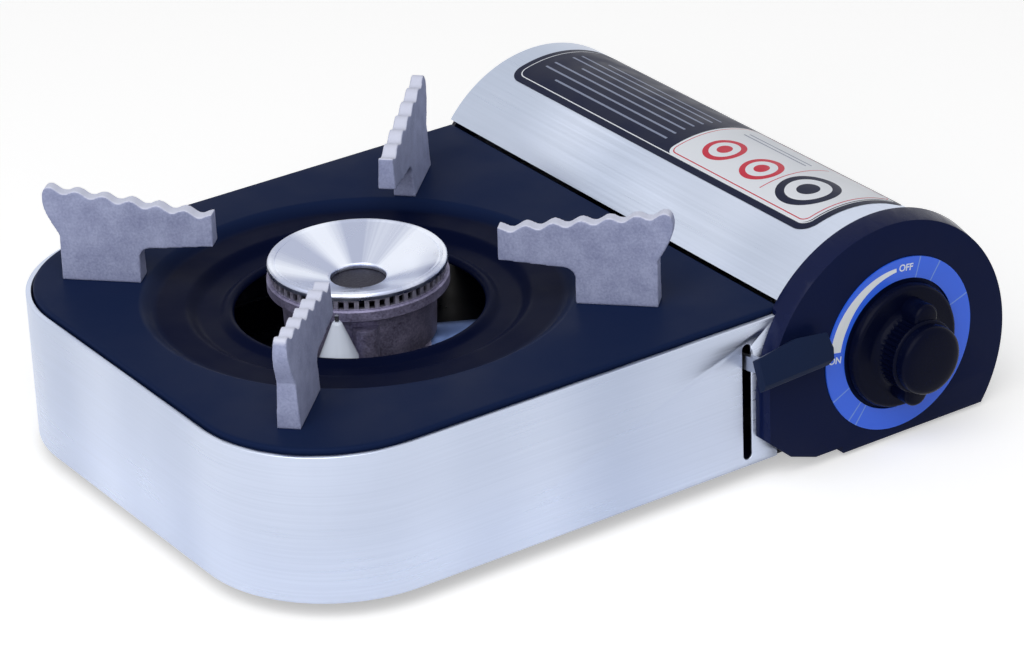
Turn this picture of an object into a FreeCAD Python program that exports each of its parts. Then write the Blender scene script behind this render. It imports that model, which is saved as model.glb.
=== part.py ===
import FreeCAD, Part
import math
import os
import Sketcher

# A butane cassette stove, in millimetres. Shapes are laid out on a bench frame: x from the band's left
# face, y from its front face, z from its lower edge. Each finished piece is then moved so that the origin
# is under the middle of the whole stove, on the surface that it stands on.
os.makedirs("parts", exist_ok=True)
doc = FreeCAD.newDocument("stove")
sheet = doc.addObject("Spreadsheet::Sheet", "Sizes")
pieces = []
spots = {}


class Size:
    """A length that knows its value and the sheet expression that gives it."""

    def __init__(self, value, text):
        self.value = float(value)
        self.text = text

    def __add__(self, other):
        other = as_size(other)
        return Size(self.value + other.value, f"({self.text} + {other.text})")

    def __sub__(self, other):
        other = as_size(other)
        return Size(self.value - other.value, f"({self.text} - {other.text})")

    def __mul__(self, other):
        other = as_size(other)
        return Size(self.value * other.value, f"({self.text} * {other.text})")

    def __truediv__(self, other):
        other = as_size(other)
        return Size(self.value / other.value, f"({self.text} / {other.text})")

    def __rsub__(self, other):
        return as_size(other) - self

    def __neg__(self):
        return Size(-self.value, f"(0 - {self.text})")

    __radd__ = __add__
    __rmul__ = __mul__


def as_size(number):
    if isinstance(number, Size):
        return number
    return Size(number, f"({float(number)})")


def size(alias, number):
    """Writes one driving dimension in the sheet and gives it back."""
    row = len(sheet.getUsedCells()) // 2 + 1
    sheet.set(f"A{row}", alias.replace("_", " "))
    sheet.set(f"B{row}", str(number))
    sheet.setAlias(f"B{row}", alias)
    return Size(number, f"Sizes.{alias}")


# The band, the base and the ground
band_height = size("band_height", 60)
band_depth = size("band_depth", 229)
band_corner = size("band_corner", 56)
band_wall = size("band_wall", 1)
hem_width = size("hem_width", 2.2)
hem_height = size("hem_height", 2.4)
chamber_width = size("chamber_width", 220)
sheet_wall = size("sheet_wall", 1)
ground_gap = size("ground_gap", 7)
pan_lip = size("pan_lip", 9)
seat_gap = size("seat_gap", 0.3)
run_gap = size("run_gap", 0.05)
foot_radius = size("foot_radius", 8)
foot_inset = size("foot_inset", 34)

# The cartridge bay and its lid
bay_offset = size("bay_offset", 49)
axis_height = size("axis_height", 28)
cover_radius = size("cover_radius", 55.9)
cover_wall = size("cover_wall", 0.8)
trough_drop = size("trough_drop", 4)
relief_width = size("relief_width", 12)
hinge_radius = size("hinge_radius", 2)
hinge_pin_radius = size("hinge_pin_radius", 1)
hinge_drop = size("hinge_drop", 3)
leaf_height = size("leaf_height", 13)
knuckle_length = size("knuckle_length", 24)

# The top plate and its dish
plate_proud = size("plate_proud", 2)
plate_inset = size("plate_inset", 3)
plate_wall = size("plate_wall", 1.2)
plate_skirt = size("plate_skirt", 5)
burner_left = size("burner_left", 107.3)
burner_front = size("burner_front", 116)
dish_radius = size("dish_radius", 84.6)
dish_slope = size("dish_slope", 5.6)
ledge_depth = size("ledge_depth", 3.4)
ledge_width = size("ledge_width", 11.3)
step_width = size("step_width", 6.2)
floor_depth = size("floor_depth", 7)
lip_radius = size("lip_radius", 48.5)
lip_round = size("lip_round", 2.2)
lip_rise = size("lip_rise", 2)
lip_bank = size("lip_bank", 6.5)

# The pan supports
support_room = size("support_room", 7.3)
foot_room = size("foot_room", 0.9)
foot_length = size("foot_length", 31.7)
support_rise = size("support_rise", 29.6)
support_slope = size("support_slope", 0.137)
crest_reach = size("crest_reach", 2.8)
crest_depth = size("crest_depth", 2.1)
arm_rise = size("arm_rise", 16.5)
horn_reach = size("horn_reach", 6)
support_foot_width = size("support_foot_width", 9)
support_top_width = size("support_top_width", 5)

# The burner
cap_radius = size("cap_radius", 34.8)
cap_height = size("cap_height", 76)
cap_rim = size("cap_rim", 2.4)
cap_band = size("cap_band", 2.7)
cap_hole = size("cap_hole", 10.8)
cap_dip = size("cap_dip", 8.6)
cap_wall = size("cap_wall", 1)
slot_height = size("slot_height", 4.2)
slot_width = size("slot_width", 2.2)
flange_radius = size("flange_radius", 35.3)
flange_height = size("flange_height", 4.8)
cup_radius = size("cup_radius", 30.2)
cup_taper = size("cup_taper", 0.9)
cup_wall = size("cup_wall", 3)
cup_depth = size("cup_depth", 20)
tube_radius = size("tube_radius", 9)
tube_wall = size("tube_wall", 0.8)
elbow_radius = size("elbow_radius", 13)
elbow_length = size("elbow_length", 26)

# The front panel, the dial and the knob
panel_front = size("panel_front", 7)
panel_lap = size("panel_lap", 2.4)
panel_front_radius = size("panel_front_radius", 57.6)
panel_rear_radius = size("panel_rear_radius", 59.5)
panel_wall = size("panel_wall", 2.5)
panel_drop = size("panel_drop", 5)
panel_step = size("panel_step", 2.8)
bevel_turn = size("bevel_turn", 9.9)
bevel_length = size("bevel_length", 22)
bevel_rise = size("bevel_rise", 4.1)
bevel_reach = size("bevel_reach", 10)
dial_right = size("dial_right", 4.8)
dial_up = size("dial_up", 6.3)
dial_radius = size("dial_radius", 35.7)
dial_hole = size("dial_hole", 27)
dial_wall = size("dial_wall", 0.6)
knob_flange_radius = size("knob_flange_radius", 25.6)
knob_flange_depth = size("knob_flange_depth", 4)
knob_barrel_radius = size("knob_barrel_radius", 15)
knob_barrel_depth = size("knob_barrel_depth", 15.5)
knob_cap_radius = size("knob_cap_radius", 13.9)
knob_depth = size("knob_depth", 21)
knob_gap = size("knob_gap", 0.8)
knob_bar_length = size("knob_bar_length", 40)
knob_bar_width = size("knob_bar_width", 11)
knob_bar_depth = size("knob_bar_depth", 13)
knob_bar_lean = size("knob_bar_lean", 8.5)
stem_radius = size("stem_radius", 3)

# The regulator and the igniter
bulkhead_back = size("bulkhead_back", 6)
regulator_radius = size("regulator_radius", 18)
regulator_length = size("regulator_length", 27)
jet_back = size("jet_back", 30)
jet_radius = size("jet_radius", 4)
boss_radius = size("boss_radius", 6)
chamber_radius = size("chamber_radius", 11)
chamber_rise = size("chamber_rise", 27)
guide_radius = size("guide_radius", 27)
cam_radius = size("cam_radius", 7)
cam_lift = size("cam_lift", 4)
cam_sweep = size("cam_sweep", 105)
cam_width = size("cam_width", 5)
piezo_size = size("piezo_size", 9)
plunger_radius = size("plunger_radius", 1.6)
lead_radius = size("lead_radius", 1.2)

# The cartridge lever and the pusher
slot_inset = size("slot_inset", 14)
slot_low = size("slot_low", 3)
slot_high = size("slot_high", 52)
slot_gap = size("slot_gap", 4)
lever_back = size("lever_back", 45)
lever_height = size("lever_height", 35)
arm_wall = size("arm_wall", 2)
arm_height = size("arm_height", 6)
arm_lift = size("arm_lift", 1.5)
arm_rise_angle = size("arm_rise_angle", 10.3)
lever_sweep = size("lever_sweep", 33)
lever_reach = size("lever_reach", 61)
grip_length = size("grip_length", 35)
grip_height = size("grip_height", 10.5)
grip_wall = size("grip_wall", 4.4)
crank_radius = size("crank_radius", 16)
pivot_radius = size("pivot_radius", 3)
hub_radius = size("hub_radius", 5.5)
hub_width = size("hub_width", 6)
pusher_wall = size("pusher_wall", 1.5)
pusher_height = size("pusher_height", 8)
cartridge_length = size("cartridge_length", 178)
cartridge_radius = size("cartridge_radius", 33.5)

# Screws, springs and the electrode
spring_room = size("spring_room", 6)
screw_shank = size("screw_shank", 1.5)
screw_head = size("screw_head", 3)
screw_head_height = size("screw_head_height", 1.8)
jet_start = size("jet_start", 143)
electrode_out = size("electrode_out", 40.4)
ceramic_low = size("ceramic_low", 38)
ceramic_length = size("ceramic_length", 29.6)
ceramic_radius = size("ceramic_radius", 7.5)
ceramic_neck = size("ceramic_neck", 3.3)
wire_radius = size("wire_radius", 0.8)
spring_wire = size("spring_wire", 0.5)
lead_side = size("lead_side", 40)
lead_front = size("lead_front", 78)
doc.recompute()

# Places that several pieces share
axis_left = chamber_width + bay_offset
slot_left = chamber_width - slot_inset
plate_top = band_height + plate_proud
support_inner = lip_radius + support_room
foot_inner = dish_radius + foot_room
foot_outer = foot_inner + foot_length
dial_left = axis_left + dial_right
dial_height = axis_height + dial_up
hinge_left = axis_left + cover_radius + hinge_radius + seat_gap
hinge_height = axis_height - hinge_drop
knob_front = panel_front + knob_gap + knob_depth
centre_left = (hinge_left + hinge_radius) / 2
centre_front = (band_depth - knob_front) / 2
trough_floor = sheet_wall - trough_drop
bay_radius = cover_radius - sheet_wall
flange_top = cap_height - cap_band - slot_height
bulkhead_rear = bulkhead_back + sheet_wall
regulator_rear = bulkhead_rear + regulator_length
bay_rear = band_depth - sheet_wall * 3

TURNS = {
    "x": FreeCAD.Rotation(FreeCAD.Vector(0, 1, 0), 90),
    "y": FreeCAD.Rotation(FreeCAD.Vector(1, 0, 0), -90),
    "-y": FreeCAD.Rotation(FreeCAD.Vector(1, 0, 0), 90),
    "z": FreeCAD.Rotation(),
}
SKETCH_PLANES = {"x": ("YZ_Plane", 1), "y": ("XZ_Plane", -1), "z": ("XY_Plane", 1)}


def put(part, x=0, y=0, z=0, turn=None):
    """Places an object on the bench, its three coordinates bound to the sheet."""
    spots[part.Name] = (x, y, z)
    spot = FreeCAD.Vector(as_size(x).value, as_size(y).value, as_size(z).value)
    part.Placement = FreeCAD.Placement(spot, turn or FreeCAD.Rotation())
    for letter, distance in zip("xyz", (x, y, z)):
        part.setExpression(f"Placement.Base.{letter}", as_size(distance).text)
    return part


def finish(part, label):
    """Names a finished piece and moves it from the bench frame to the stove's own frame."""
    x, y, z = spots.get(part.Name, (0, 0, 0))
    put(part, x - centre_left, y - centre_front, z + ground_gap, part.Placement.Rotation)
    part.Label = label
    pieces.append(part)
    return part


def box(name, x, y, z):
    """A block between a low and a high value on each axis."""
    block = doc.addObject("Part::Box", name)
    for edge, (low, high) in zip(("Length", "Width", "Height"), (x, y, z)):
        setattr(block, edge, (as_size(high) - low).value)
        block.setExpression(edge, (as_size(high) - low).text)
    return put(block, x[0], y[0], z[0])


def across(axis, pair, start):
    first, second = pair
    return {"x": (start, first, second), "y": (first, start, second), "z": (first, second, start)}[axis]


def rod(name, axis, pair, low, high, radius):
    """A cylinder along an axis; pair gives its two other coordinates in x, y, z order."""
    shaft = doc.addObject("Part::Cylinder", name)
    shaft.setExpression("Radius", as_size(radius).text)
    shaft.setExpression("Height", (as_size(high) - low).text)
    return put(shaft, *across(axis, pair, low), TURNS[axis])


def cone(name, axis, pair, low, high, low_radius, high_radius):
    taper = doc.addObject("Part::Cone", name)
    taper.setExpression("Radius1", as_size(low_radius).text)
    taper.setExpression("Radius2", as_size(high_radius).text)
    taper.setExpression("Height", (as_size(high) - low).text)
    return put(taper, *across(axis, pair, low), TURNS[axis])


def fuse(name, *parts):
    joined = doc.addObject("Part::MultiFuse", name)
    joined.Shapes = list(parts)
    joined.Refine = True
    return joined


def group(name, *parts):
    """Separate solids that share one node."""
    together = doc.addObject("Part::Compound", name)
    together.Links = list(parts)
    return together


def cut(name, base, *tools):
    result = doc.addObject("Part::Cut", name)
    result.Base = base
    result.Tool = tools[0] if len(tools) == 1 else group(name + "_tools", *tools)
    return result


def common(name, first, second):
    shared = doc.addObject("Part::Common", name)
    shared.Base = first
    shared.Tool = second
    return shared


def tube(name, axis, pair, low, high, outer, inner):
    outside = rod(name + "_outside", axis, pair, low, high, outer)
    inside = rod(name + "_inside", axis, pair, as_size(low) - 1, as_size(high) + 1, inner)
    return cut(name, outside, inside)


def feature(name, shape, x=0, y=0, z=0, turn=None):
    """A piece whose shape is built here from the sheet's values, placed after its shape is set."""
    solid = doc.addObject("Part::Feature", name)
    solid.Shape = shape
    return put(solid, x, y, z, turn)


def sketch_on(body, role, offset):
    sketch = body.newObject("Sketcher::SketchObject", body.Name + "_sketch")
    plane = [item for item in body.Origin.OriginFeatures if item.Role == role][0]
    sketch.AttachmentSupport = [(plane, "")]
    sketch.MapMode = "FlatFace"
    sketch.setExpression("AttachmentOffset.Base.z", as_size(offset).text)
    return sketch


def tie(sketch, kind, line, point, distance):
    distance = as_size(distance)
    number = sketch.addConstraint(Sketcher.Constraint(kind, line, point, distance.value))
    sketch.setExpression(f"Constraints[{number}]", distance.text)


def draw_polygon(sketch, points):
    """A closed outline whose every corner is tied to the sheet."""
    first = sketch.GeometryCount
    corners = [FreeCAD.Vector(as_size(u).value, as_size(v).value, 0) for u, v in points]
    for start, end in zip(corners, corners[1:] + corners[:1]):
        sketch.addGeometry(Part.LineSegment(start, end))
    for index, (u, v) in enumerate(points):
        before = first + (index - 1) % len(points)
        sketch.addConstraint(Sketcher.Constraint("Coincident", before, 2, first + index, 1))
        tie(sketch, "DistanceX", first + index, 1, u)
        tie(sketch, "DistanceY", first + index, 1, v)


def draw_circle(sketch, u, v, radius):
    centre = FreeCAD.Vector(as_size(u).value, as_size(v).value, 0)
    number = sketch.addGeometry(Part.Circle(centre, FreeCAD.Vector(0, 0, 1), as_size(radius).value))
    tie(sketch, "DistanceX", number, 3, u)
    tie(sketch, "DistanceY", number, 3, v)
    ring = sketch.addConstraint(Sketcher.Constraint("Radius", number, as_size(radius).value))
    sketch.setExpression(f"Constraints[{ring}]", as_size(radius).text)


def pad(body, axis, outline, low, high, circles=()):
    """Adds a plate of any outline to a body, from low to high along an axis."""
    role, sense = SKETCH_PLANES[axis]
    sketch = sketch_on(body, role, low if sense > 0 else -as_size(high))
    draw_polygon(sketch, outline)
    for u, v, radius in circles:
        draw_circle(sketch, u, v, radius)
    raised = body.newObject("PartDesign::Pad", body.Name + "_pad")
    raised.Profile = sketch
    raised.setExpression("Length", (as_size(high) - low).text)
    doc.recompute()
    return raised


def slab(name, axis, outline, low, high, circles=()):
    body = doc.addObject("PartDesign::Body", name)
    pad(body, axis, outline, low, high, circles)
    return body


def oblong(x, y):
    """The four corners of a rectangle between a low and a high value each way."""
    return [(x[0], y[0]), (x[1], y[0]), (x[1], y[1]), (x[0], y[1])]


def spun(name, outline, at=(0, 0, 0), axis="z"):
    """A turned piece: (radius, height) points revolved about its own axis."""
    body = doc.addObject("PartDesign::Body", name)
    sketch = sketch_on(body, "XZ_Plane", 0)
    draw_polygon(sketch, outline)
    turned = body.newObject("PartDesign::Revolution", name + "_turned")
    turned.Profile = sketch
    turned.ReferenceAxis = (sketch, ["V_Axis"])
    turned.Angle = 360
    return put(body, *at, TURNS[axis])


def round_corners(body, radius, picks):
    """Rounds the upright edges that stand at the given (x, y) places."""
    base = body.Tip
    names = []
    for number, edge in enumerate(base.Shape.Edges, 1):
        low, high = edge.BoundBox, edge.BoundBox
        upright = low.XLength < 0.01 and high.YLength < 0.01
        if upright and any(abs(low.XMin - as_size(x).value) < 0.01 and abs(low.YMin - as_size(y).value) < 0.01
                           for x, y in picks):
            names.append(f"Edge{number}")
    rounded = body.newObject("PartDesign::Fillet", body.Name + "_round")
    rounded.Base = (base, names)
    rounded.setExpression("Radius", as_size(radius).text)
    doc.recompute()


def screws(name, places, axis, head_low, head_high, shank_low, shank_high, head_radius, shank_radius):
    """A set of like screws, each a head and a shank, as one group of solids."""
    made = []
    for number, pair in enumerate(places):
        head = rod(f"{name}_head{number}", axis, pair, head_low, head_high, head_radius)
        shank = rod(f"{name}_shank{number}", axis, pair, shank_low, shank_high, shank_radius)
        made.append(fuse(f"{name}_{number}", head, shank))
    return group(name, *made)


def wrap(inset, wall, right):
    """The outline of a U-shaped wall round the left side, open to the right."""
    inner = as_size(inset) + wall
    back = band_depth - inset
    return [(right, inset), (inset, inset), (inset, back), (right, back), (right, band_depth - inner),
            (inner, band_depth - inner), (inner, inner), (right, inner)]


# Outer band: a stainless sheet bent round two corners, hemmed at the top, with the lever's slot
band = doc.addObject("PartDesign::Body", "band")
pad(band, "z", wrap(0, band_wall, chamber_width), 0, band_height - hem_height)
pad(band, "z", wrap(0, hem_width, chamber_width), band_height - hem_height, band_height)
left_corners = [(0, 0), (0, band_depth)]
wall_corners = [(band_wall, band_wall), (band_wall, band_depth - band_wall)]
hem_corners = [(hem_width, hem_width), (hem_width, band_depth - hem_width)]
round_corners(band, band_corner, left_corners)
round_corners(band, band_corner - band_wall, wall_corners)
round_corners(band, band_corner - hem_width, hem_corners)
slot_half = slot_gap / 2
slot_body = box("slot_body", (slot_left - slot_half, slot_left + slot_half), (-1, band_wall + 1),
                (slot_low + slot_half, slot_high - slot_half))
slot_foot = rod("slot_foot", "y", (slot_left, slot_low + slot_half), -1, band_wall + 1, slot_half)
slot_head = rod("slot_head", "y", (slot_left, slot_high - slot_half), -1, band_wall + 1, slot_half)
finish(cut("band_cut", band, fuse("lever_slot", slot_body, slot_foot, slot_head)), "outer_band")

# Base pan: a floor with a lip turned up inside the band, drilled for the bracket screws
bracket_half = elbow_radius + 3
stand_left = slot_left - hub_width / 2 - spring_room - seat_gap
base_screw_places = [(burner_left - bracket_half - 8, burner_front), (burner_left + bracket_half + 8, burner_front),
                     (stand_left - sheet_wall - 6, lever_back)]
base_holes = [rod(f"base_hole{number}", "z", pair, -1, sheet_wall + 1, screw_shank + run_gap)
              for number, pair in enumerate(base_screw_places)]
pan = doc.addObject("PartDesign::Body", "pan")
pan_edge = band_wall
pad(pan, "z", oblong((pan_edge, chamber_width), (pan_edge, band_depth - pan_edge)), 0, sheet_wall)
round_corners(pan, band_corner - band_wall, [(pan_edge, pan_edge), (pan_edge, band_depth - pan_edge)])
lip = doc.addObject("PartDesign::Body", "pan_rim")
pad(lip, "z", wrap(pan_edge, sheet_wall, chamber_width), sheet_wall, pan_lip)
round_corners(lip, band_corner - pan_edge, [(pan_edge, pan_edge), (pan_edge, band_depth - pan_edge)])
lip_inner = pan_edge + sheet_wall
round_corners(lip, band_corner - lip_inner, [(lip_inner, lip_inner), (lip_inner, band_depth - lip_inner)])
lip_notch = box("lip_notch", (slot_left - slot_gap * 2, slot_left + slot_gap * 2),
                (0, lip_inner + 1), (sheet_wall, pan_lip + 1))
finish(cut("base", fuse("pan_whole", pan, lip), lip_notch, *base_holes), "base_pan")

# Bay trough: the floor under the cartridge and the outer wall up to the lid's hinge
wall_top = hinge_height - hinge_radius - seat_gap


def trough_solid(name, radius, floor, front, rear):
    """The outline of the bay below the hinge, as a solid of a given radius and floor."""
    curve = rod(name + "_curve", "y", (axis_left, axis_height), front, rear, radius)
    window = box(name + "_window", (axis_left, axis_left + cover_radius + 1), (front, rear), (floor, wall_top))
    flat = box(name + "_flat", (chamber_width, axis_left), (front, rear), (floor, wall_top))
    return fuse(name, common(name + "_side", curve, window), flat)


shell_front = panel_lap + seat_gap


def corner_relief(name):
    """A block that clears the bay's lower front corner, so that nothing shows below the panel's slanted corner."""
    return box(name, (chamber_width - 1, chamber_width + relief_width), (0, bulkhead_rear + seat_gap),
               (-trough_drop - 1, -sheet_wall))


trough_out = trough_solid("trough_out", cover_radius, -trough_drop, shell_front, band_depth)
trough_in = trough_solid("trough_in", bay_radius, trough_floor, shell_front - 1, band_depth + 1)
trough_top = box("trough_top", (chamber_width - 1, axis_left + 1), (0, band_depth + 2),
                 (trough_floor, band_height * 2))
finish(cut("trough", trough_out, trough_in, trough_top, corner_relief("trough_relief")), "bay_trough")

# Partition between the burner chamber and the bay, with holes for the gas tube, the lead and the pusher
tube_run_x = dial_left - burner_left
tube_run_y = as_size(jet_back) - burner_front
tube_run = math.hypot(tube_run_x.value, tube_run_y.value)
tube_yaw = math.degrees(math.atan2(tube_run_y.value, tube_run_x.value))
tube_turn = FreeCAD.Rotation(FreeCAD.Vector(0, 0, 1), tube_yaw).multiply(TURNS["x"])


def gas_rod(name, start, end, radius):
    """A rod on the gas line, from start to end millimetres out from the burner's axis."""
    step_x = tube_run_x * (as_size(start) / tube_run)
    step_y = tube_run_y * (as_size(start) / tube_run)
    shaft = doc.addObject("Part::Cylinder", name)
    shaft.setExpression("Radius", as_size(radius).text)
    shaft.setExpression("Height", (as_size(end) - start).text)
    return put(shaft, burner_left + step_x, burner_front + step_y, dial_height, tube_turn)


partition_right = chamber_width + sheet_wall
pusher_low = lever_height + crank_radius - pusher_height / 2
pusher_travel = crank_radius.value * math.sin(math.radians(lever_sweep.value))
pusher_rest = regulator_rear + cartridge_length + pusher_travel
tab_front = pusher_rest - pusher_height
wall_plate = box("wall_plate", (chamber_width, partition_right), (shell_front, bay_rear),
                 (trough_floor, plate_top - plate_wall - seat_gap))
gas_hole = gas_rod("gas_hole", elbow_length, tube_run, tube_radius + 1.5)
lead_back = bulkhead_rear + 10
lead_low = sheet_wall + 9
lead_left = partition_right + 9
lead_hole = rod("lead_hole", "x", (lead_back, lead_low), chamber_width - 1, partition_right + 1, lead_radius * 3)
tab_hole = box("tab_hole", (chamber_width - 1, partition_right + 1),
               (tab_front - pusher_travel - 1, pusher_rest + pusher_wall + 1),
               (pusher_low - 1, pusher_low + pusher_height + 1))
finish(cut("partition", wall_plate, gas_hole, lead_hole, tab_hole, corner_relief("partition_relief")),
       "bay_partition")


def bay_wall(name, front, rear, gap):
    """A cross wall that fills the round bay from the partition to the lid."""
    disc = rod(name + "_disc", "y", (axis_left, axis_height), front, rear, bay_radius - gap)
    window = box(name + "_window", (partition_right, axis_left + cover_radius), (front, rear),
                 (trough_floor, axis_height + cover_radius))
    return common(name, disc, window)


# Bulkhead behind the control panel, and the plate that closes the rear of the bay
SCREW_ANGLES = (40, 140, 340)
screw_circle = bay_radius - 7


def panel_screw_places():
    """Three screw places round the bay's axis, clear of the dial's works."""
    places = []
    for angle in SCREW_ANGLES:
        across_part = screw_circle * math.cos(math.radians(angle))
        upward_part = screw_circle * math.sin(math.radians(angle))
        places.append((axis_left + across_part, axis_height + upward_part))
    return places


REGULATOR_SCREW_ANGLES = (45, 135, 225, 315)
regulator_screw_circle = regulator_radius + 3.5


def regulator_screw_places():
    places = []
    for angle in REGULATOR_SCREW_ANGLES:
        across_part = regulator_screw_circle * math.cos(math.radians(angle))
        upward_part = regulator_screw_circle * math.sin(math.radians(angle))
        places.append((dial_left + across_part, dial_height + upward_part))
    return places


bulkhead_blank = bay_wall("bulkhead_blank", bulkhead_back, bulkhead_rear, seat_gap)
bulkhead_holes = [rod("stem_pass", "y", (dial_left, dial_height), bulkhead_back - 1, bulkhead_rear + 1,
                      stem_radius + 1)]
bulkhead_holes.append(rod("lead_pass", "y", (lead_left, lead_low), bulkhead_back - 1,
                          bulkhead_rear + 1, lead_radius * 2))
for number, pair in enumerate(panel_screw_places() + regulator_screw_places()):
    bulkhead_holes.append(rod(f"bulkhead_screw_hole{number}", "y", pair, bulkhead_back - 1, bulkhead_rear + 1,
                              screw_shank + run_gap))
finish(cut("bulkhead", bulkhead_blank, corner_relief("bulkhead_relief"), *bulkhead_holes), "bay_bulkhead")
finish(bay_wall("rear_wall", bay_rear, bay_rear + sheet_wall * 2, seat_gap), "rear_end_plate")

# Cartridge cradle: two ribs with a round seat under the cartridge, tied by a strip
cradle_ribs = []
for number, share in enumerate((0.35, 0.75)):
    rib_front = band_depth * share
    rib = box(f"cradle_rib{number}", (dial_left - 26, dial_left + 26), (rib_front, rib_front + sheet_wall * 2),
              (trough_floor + sheet_wall, trough_floor + sheet_wall + 10))
    cradle_ribs.append(rib)
cradle_strip = box("cradle_strip", (dial_left - 12, dial_left + 12), (band_depth * 0.3, band_depth * 0.8),
                   (trough_floor, trough_floor + sheet_wall))
cradle_seat = rod("cradle_seat", "y", (dial_left, dial_height), 0, band_depth, cartridge_radius + seat_gap)
finish(cut("cradle", fuse("cradle_whole", cradle_strip, *cradle_ribs), cradle_seat), "cartridge_cradle")

# Rubber feet under the four corners
left_feet = [(foot_inset, foot_inset), (foot_inset, band_depth - foot_inset)]
right_foot_left = axis_left + foot_inset - foot_radius / 2
right_feet = [(right_foot_left, foot_inset - foot_radius), (right_foot_left, band_depth - foot_inset)]
feet = []
for number, pair in enumerate(left_feet):
    feet.append(cone(f"left_foot{number}", "z", pair, -ground_gap, 0, foot_radius - 1, foot_radius))
for number, pair in enumerate(right_feet):
    feet.append(cone(f"right_foot{number}", "z", pair, -ground_gap, -trough_drop, foot_radius - 1, foot_radius))
finish(group("feet", *feet), "rubber_feet")

# Tabs inside the band that the top plate rests on
plate_under = plate_top - plate_wall
tabs = []
for number, front in enumerate((band_depth * 0.3, band_depth * 0.7)):
    tabs.append(box(f"side_tab{number}", (band_wall, plate_inset + plate_wall + 6), (front, front + 12),
                    (band_height - hem_height - sheet_wall - plate_skirt, band_height - hem_height - plate_skirt)))
for number, (front, rear) in enumerate(((band_wall, plate_inset + plate_wall + 6),
                                        (band_depth - plate_inset - plate_wall - 6, band_depth - band_wall))):
    tabs.append(box(f"end_tab{number}", (chamber_width * 0.6, chamber_width * 0.6 + 12), (front, rear),
                    (band_height - hem_height - sheet_wall - plate_skirt, band_height - hem_height - plate_skirt)))
finish(group("tabs", *tabs), "plate_rest_tabs")

# Top plate: a flat sheet with a skirt and a stepped round dish, open over the burner
plate = doc.addObject("PartDesign::Body", "plate")
plate_right = chamber_width + sheet_wall + 1
plate_edge = [(plate_inset, plate_inset), (plate_inset, band_depth - plate_inset)]
plate_rim = dish_radius - 0.5
pad(plate, "z", oblong((plate_inset, plate_right), (plate_inset, band_depth - plate_inset)), plate_under,
    plate_top, [(burner_left, burner_front, plate_rim)])
round_corners(plate, band_corner - plate_inset, plate_edge)
skirt = doc.addObject("PartDesign::Body", "skirt")
skirt_right = chamber_width - 8
skirt_inner = plate_inset + plate_wall
skirt_low = band_height - hem_height - plate_skirt + seat_gap
pad(skirt, "z", wrap(plate_inset, plate_wall, skirt_right), skirt_low, plate_under)
round_corners(skirt, band_corner - plate_inset, plate_edge)
round_corners(skirt, band_corner - skirt_inner, [(skirt_inner, skirt_inner), (skirt_inner, band_depth - skirt_inner)])
ledge_outer = dish_radius - dish_slope
ledge_inner = ledge_outer - ledge_width
floor_outer = ledge_inner - step_width
lip_crest = plate_top - floor_depth + lip_rise
dish_line = [(dish_radius + 1, plate_top), (dish_radius, plate_top),
             (dish_radius - 1.2, plate_top - 0.5), (ledge_outer + 1, plate_top - ledge_depth + 0.4),
             (ledge_outer, plate_top - ledge_depth), (ledge_inner, plate_top - ledge_depth - 0.3),
             (floor_outer, plate_top - floor_depth), (lip_radius + lip_bank, lip_crest - lip_rise),
             (lip_radius + lip_round, lip_crest - 0.1), (lip_radius + 0.8, lip_crest - 0.3),
             (lip_radius, lip_crest - lip_round)]
under_line = [(radius + (plate_wall if radius is dish_line[-1][0] else 0), height - plate_wall)
              for radius, height in reversed(dish_line)]
dish = spun("dish", dish_line + under_line, (burner_left, burner_front, 0))
support_screw_outs = (foot_inner + 7, foot_outer - 7)
SUPPORT_ANGLES = {"front": 225, "left": 135, "back": 45, "right": 315}
support_screw_places = []
for angle in SUPPORT_ANGLES.values():
    for out in support_screw_outs:
        east = out * math.cos(math.radians(angle))
        north = out * math.sin(math.radians(angle))
        support_screw_places.append((burner_left + east, burner_front + north))
plate_holes = [rod(f"plate_hole{number}", "z", pair, plate_under - 1, plate_top + 1, screw_shank + run_gap)
               for number, pair in enumerate(support_screw_places)]
finish(cut("plate_cut", fuse("plate_whole", plate, skirt, dish), *plate_holes), "top_plate")

# Pan supports: cast arms with wavy tops, thinner at the top than at the foot
CREST_COUNT = 7
CREST_STEP_COUNT = 8
crest_pitch = (foot_outer + crest_reach - support_inner) / (CREST_COUNT - 1)
support_top = support_rise + support_slope * (crest_pitch * (CREST_COUNT - 1))


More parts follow.
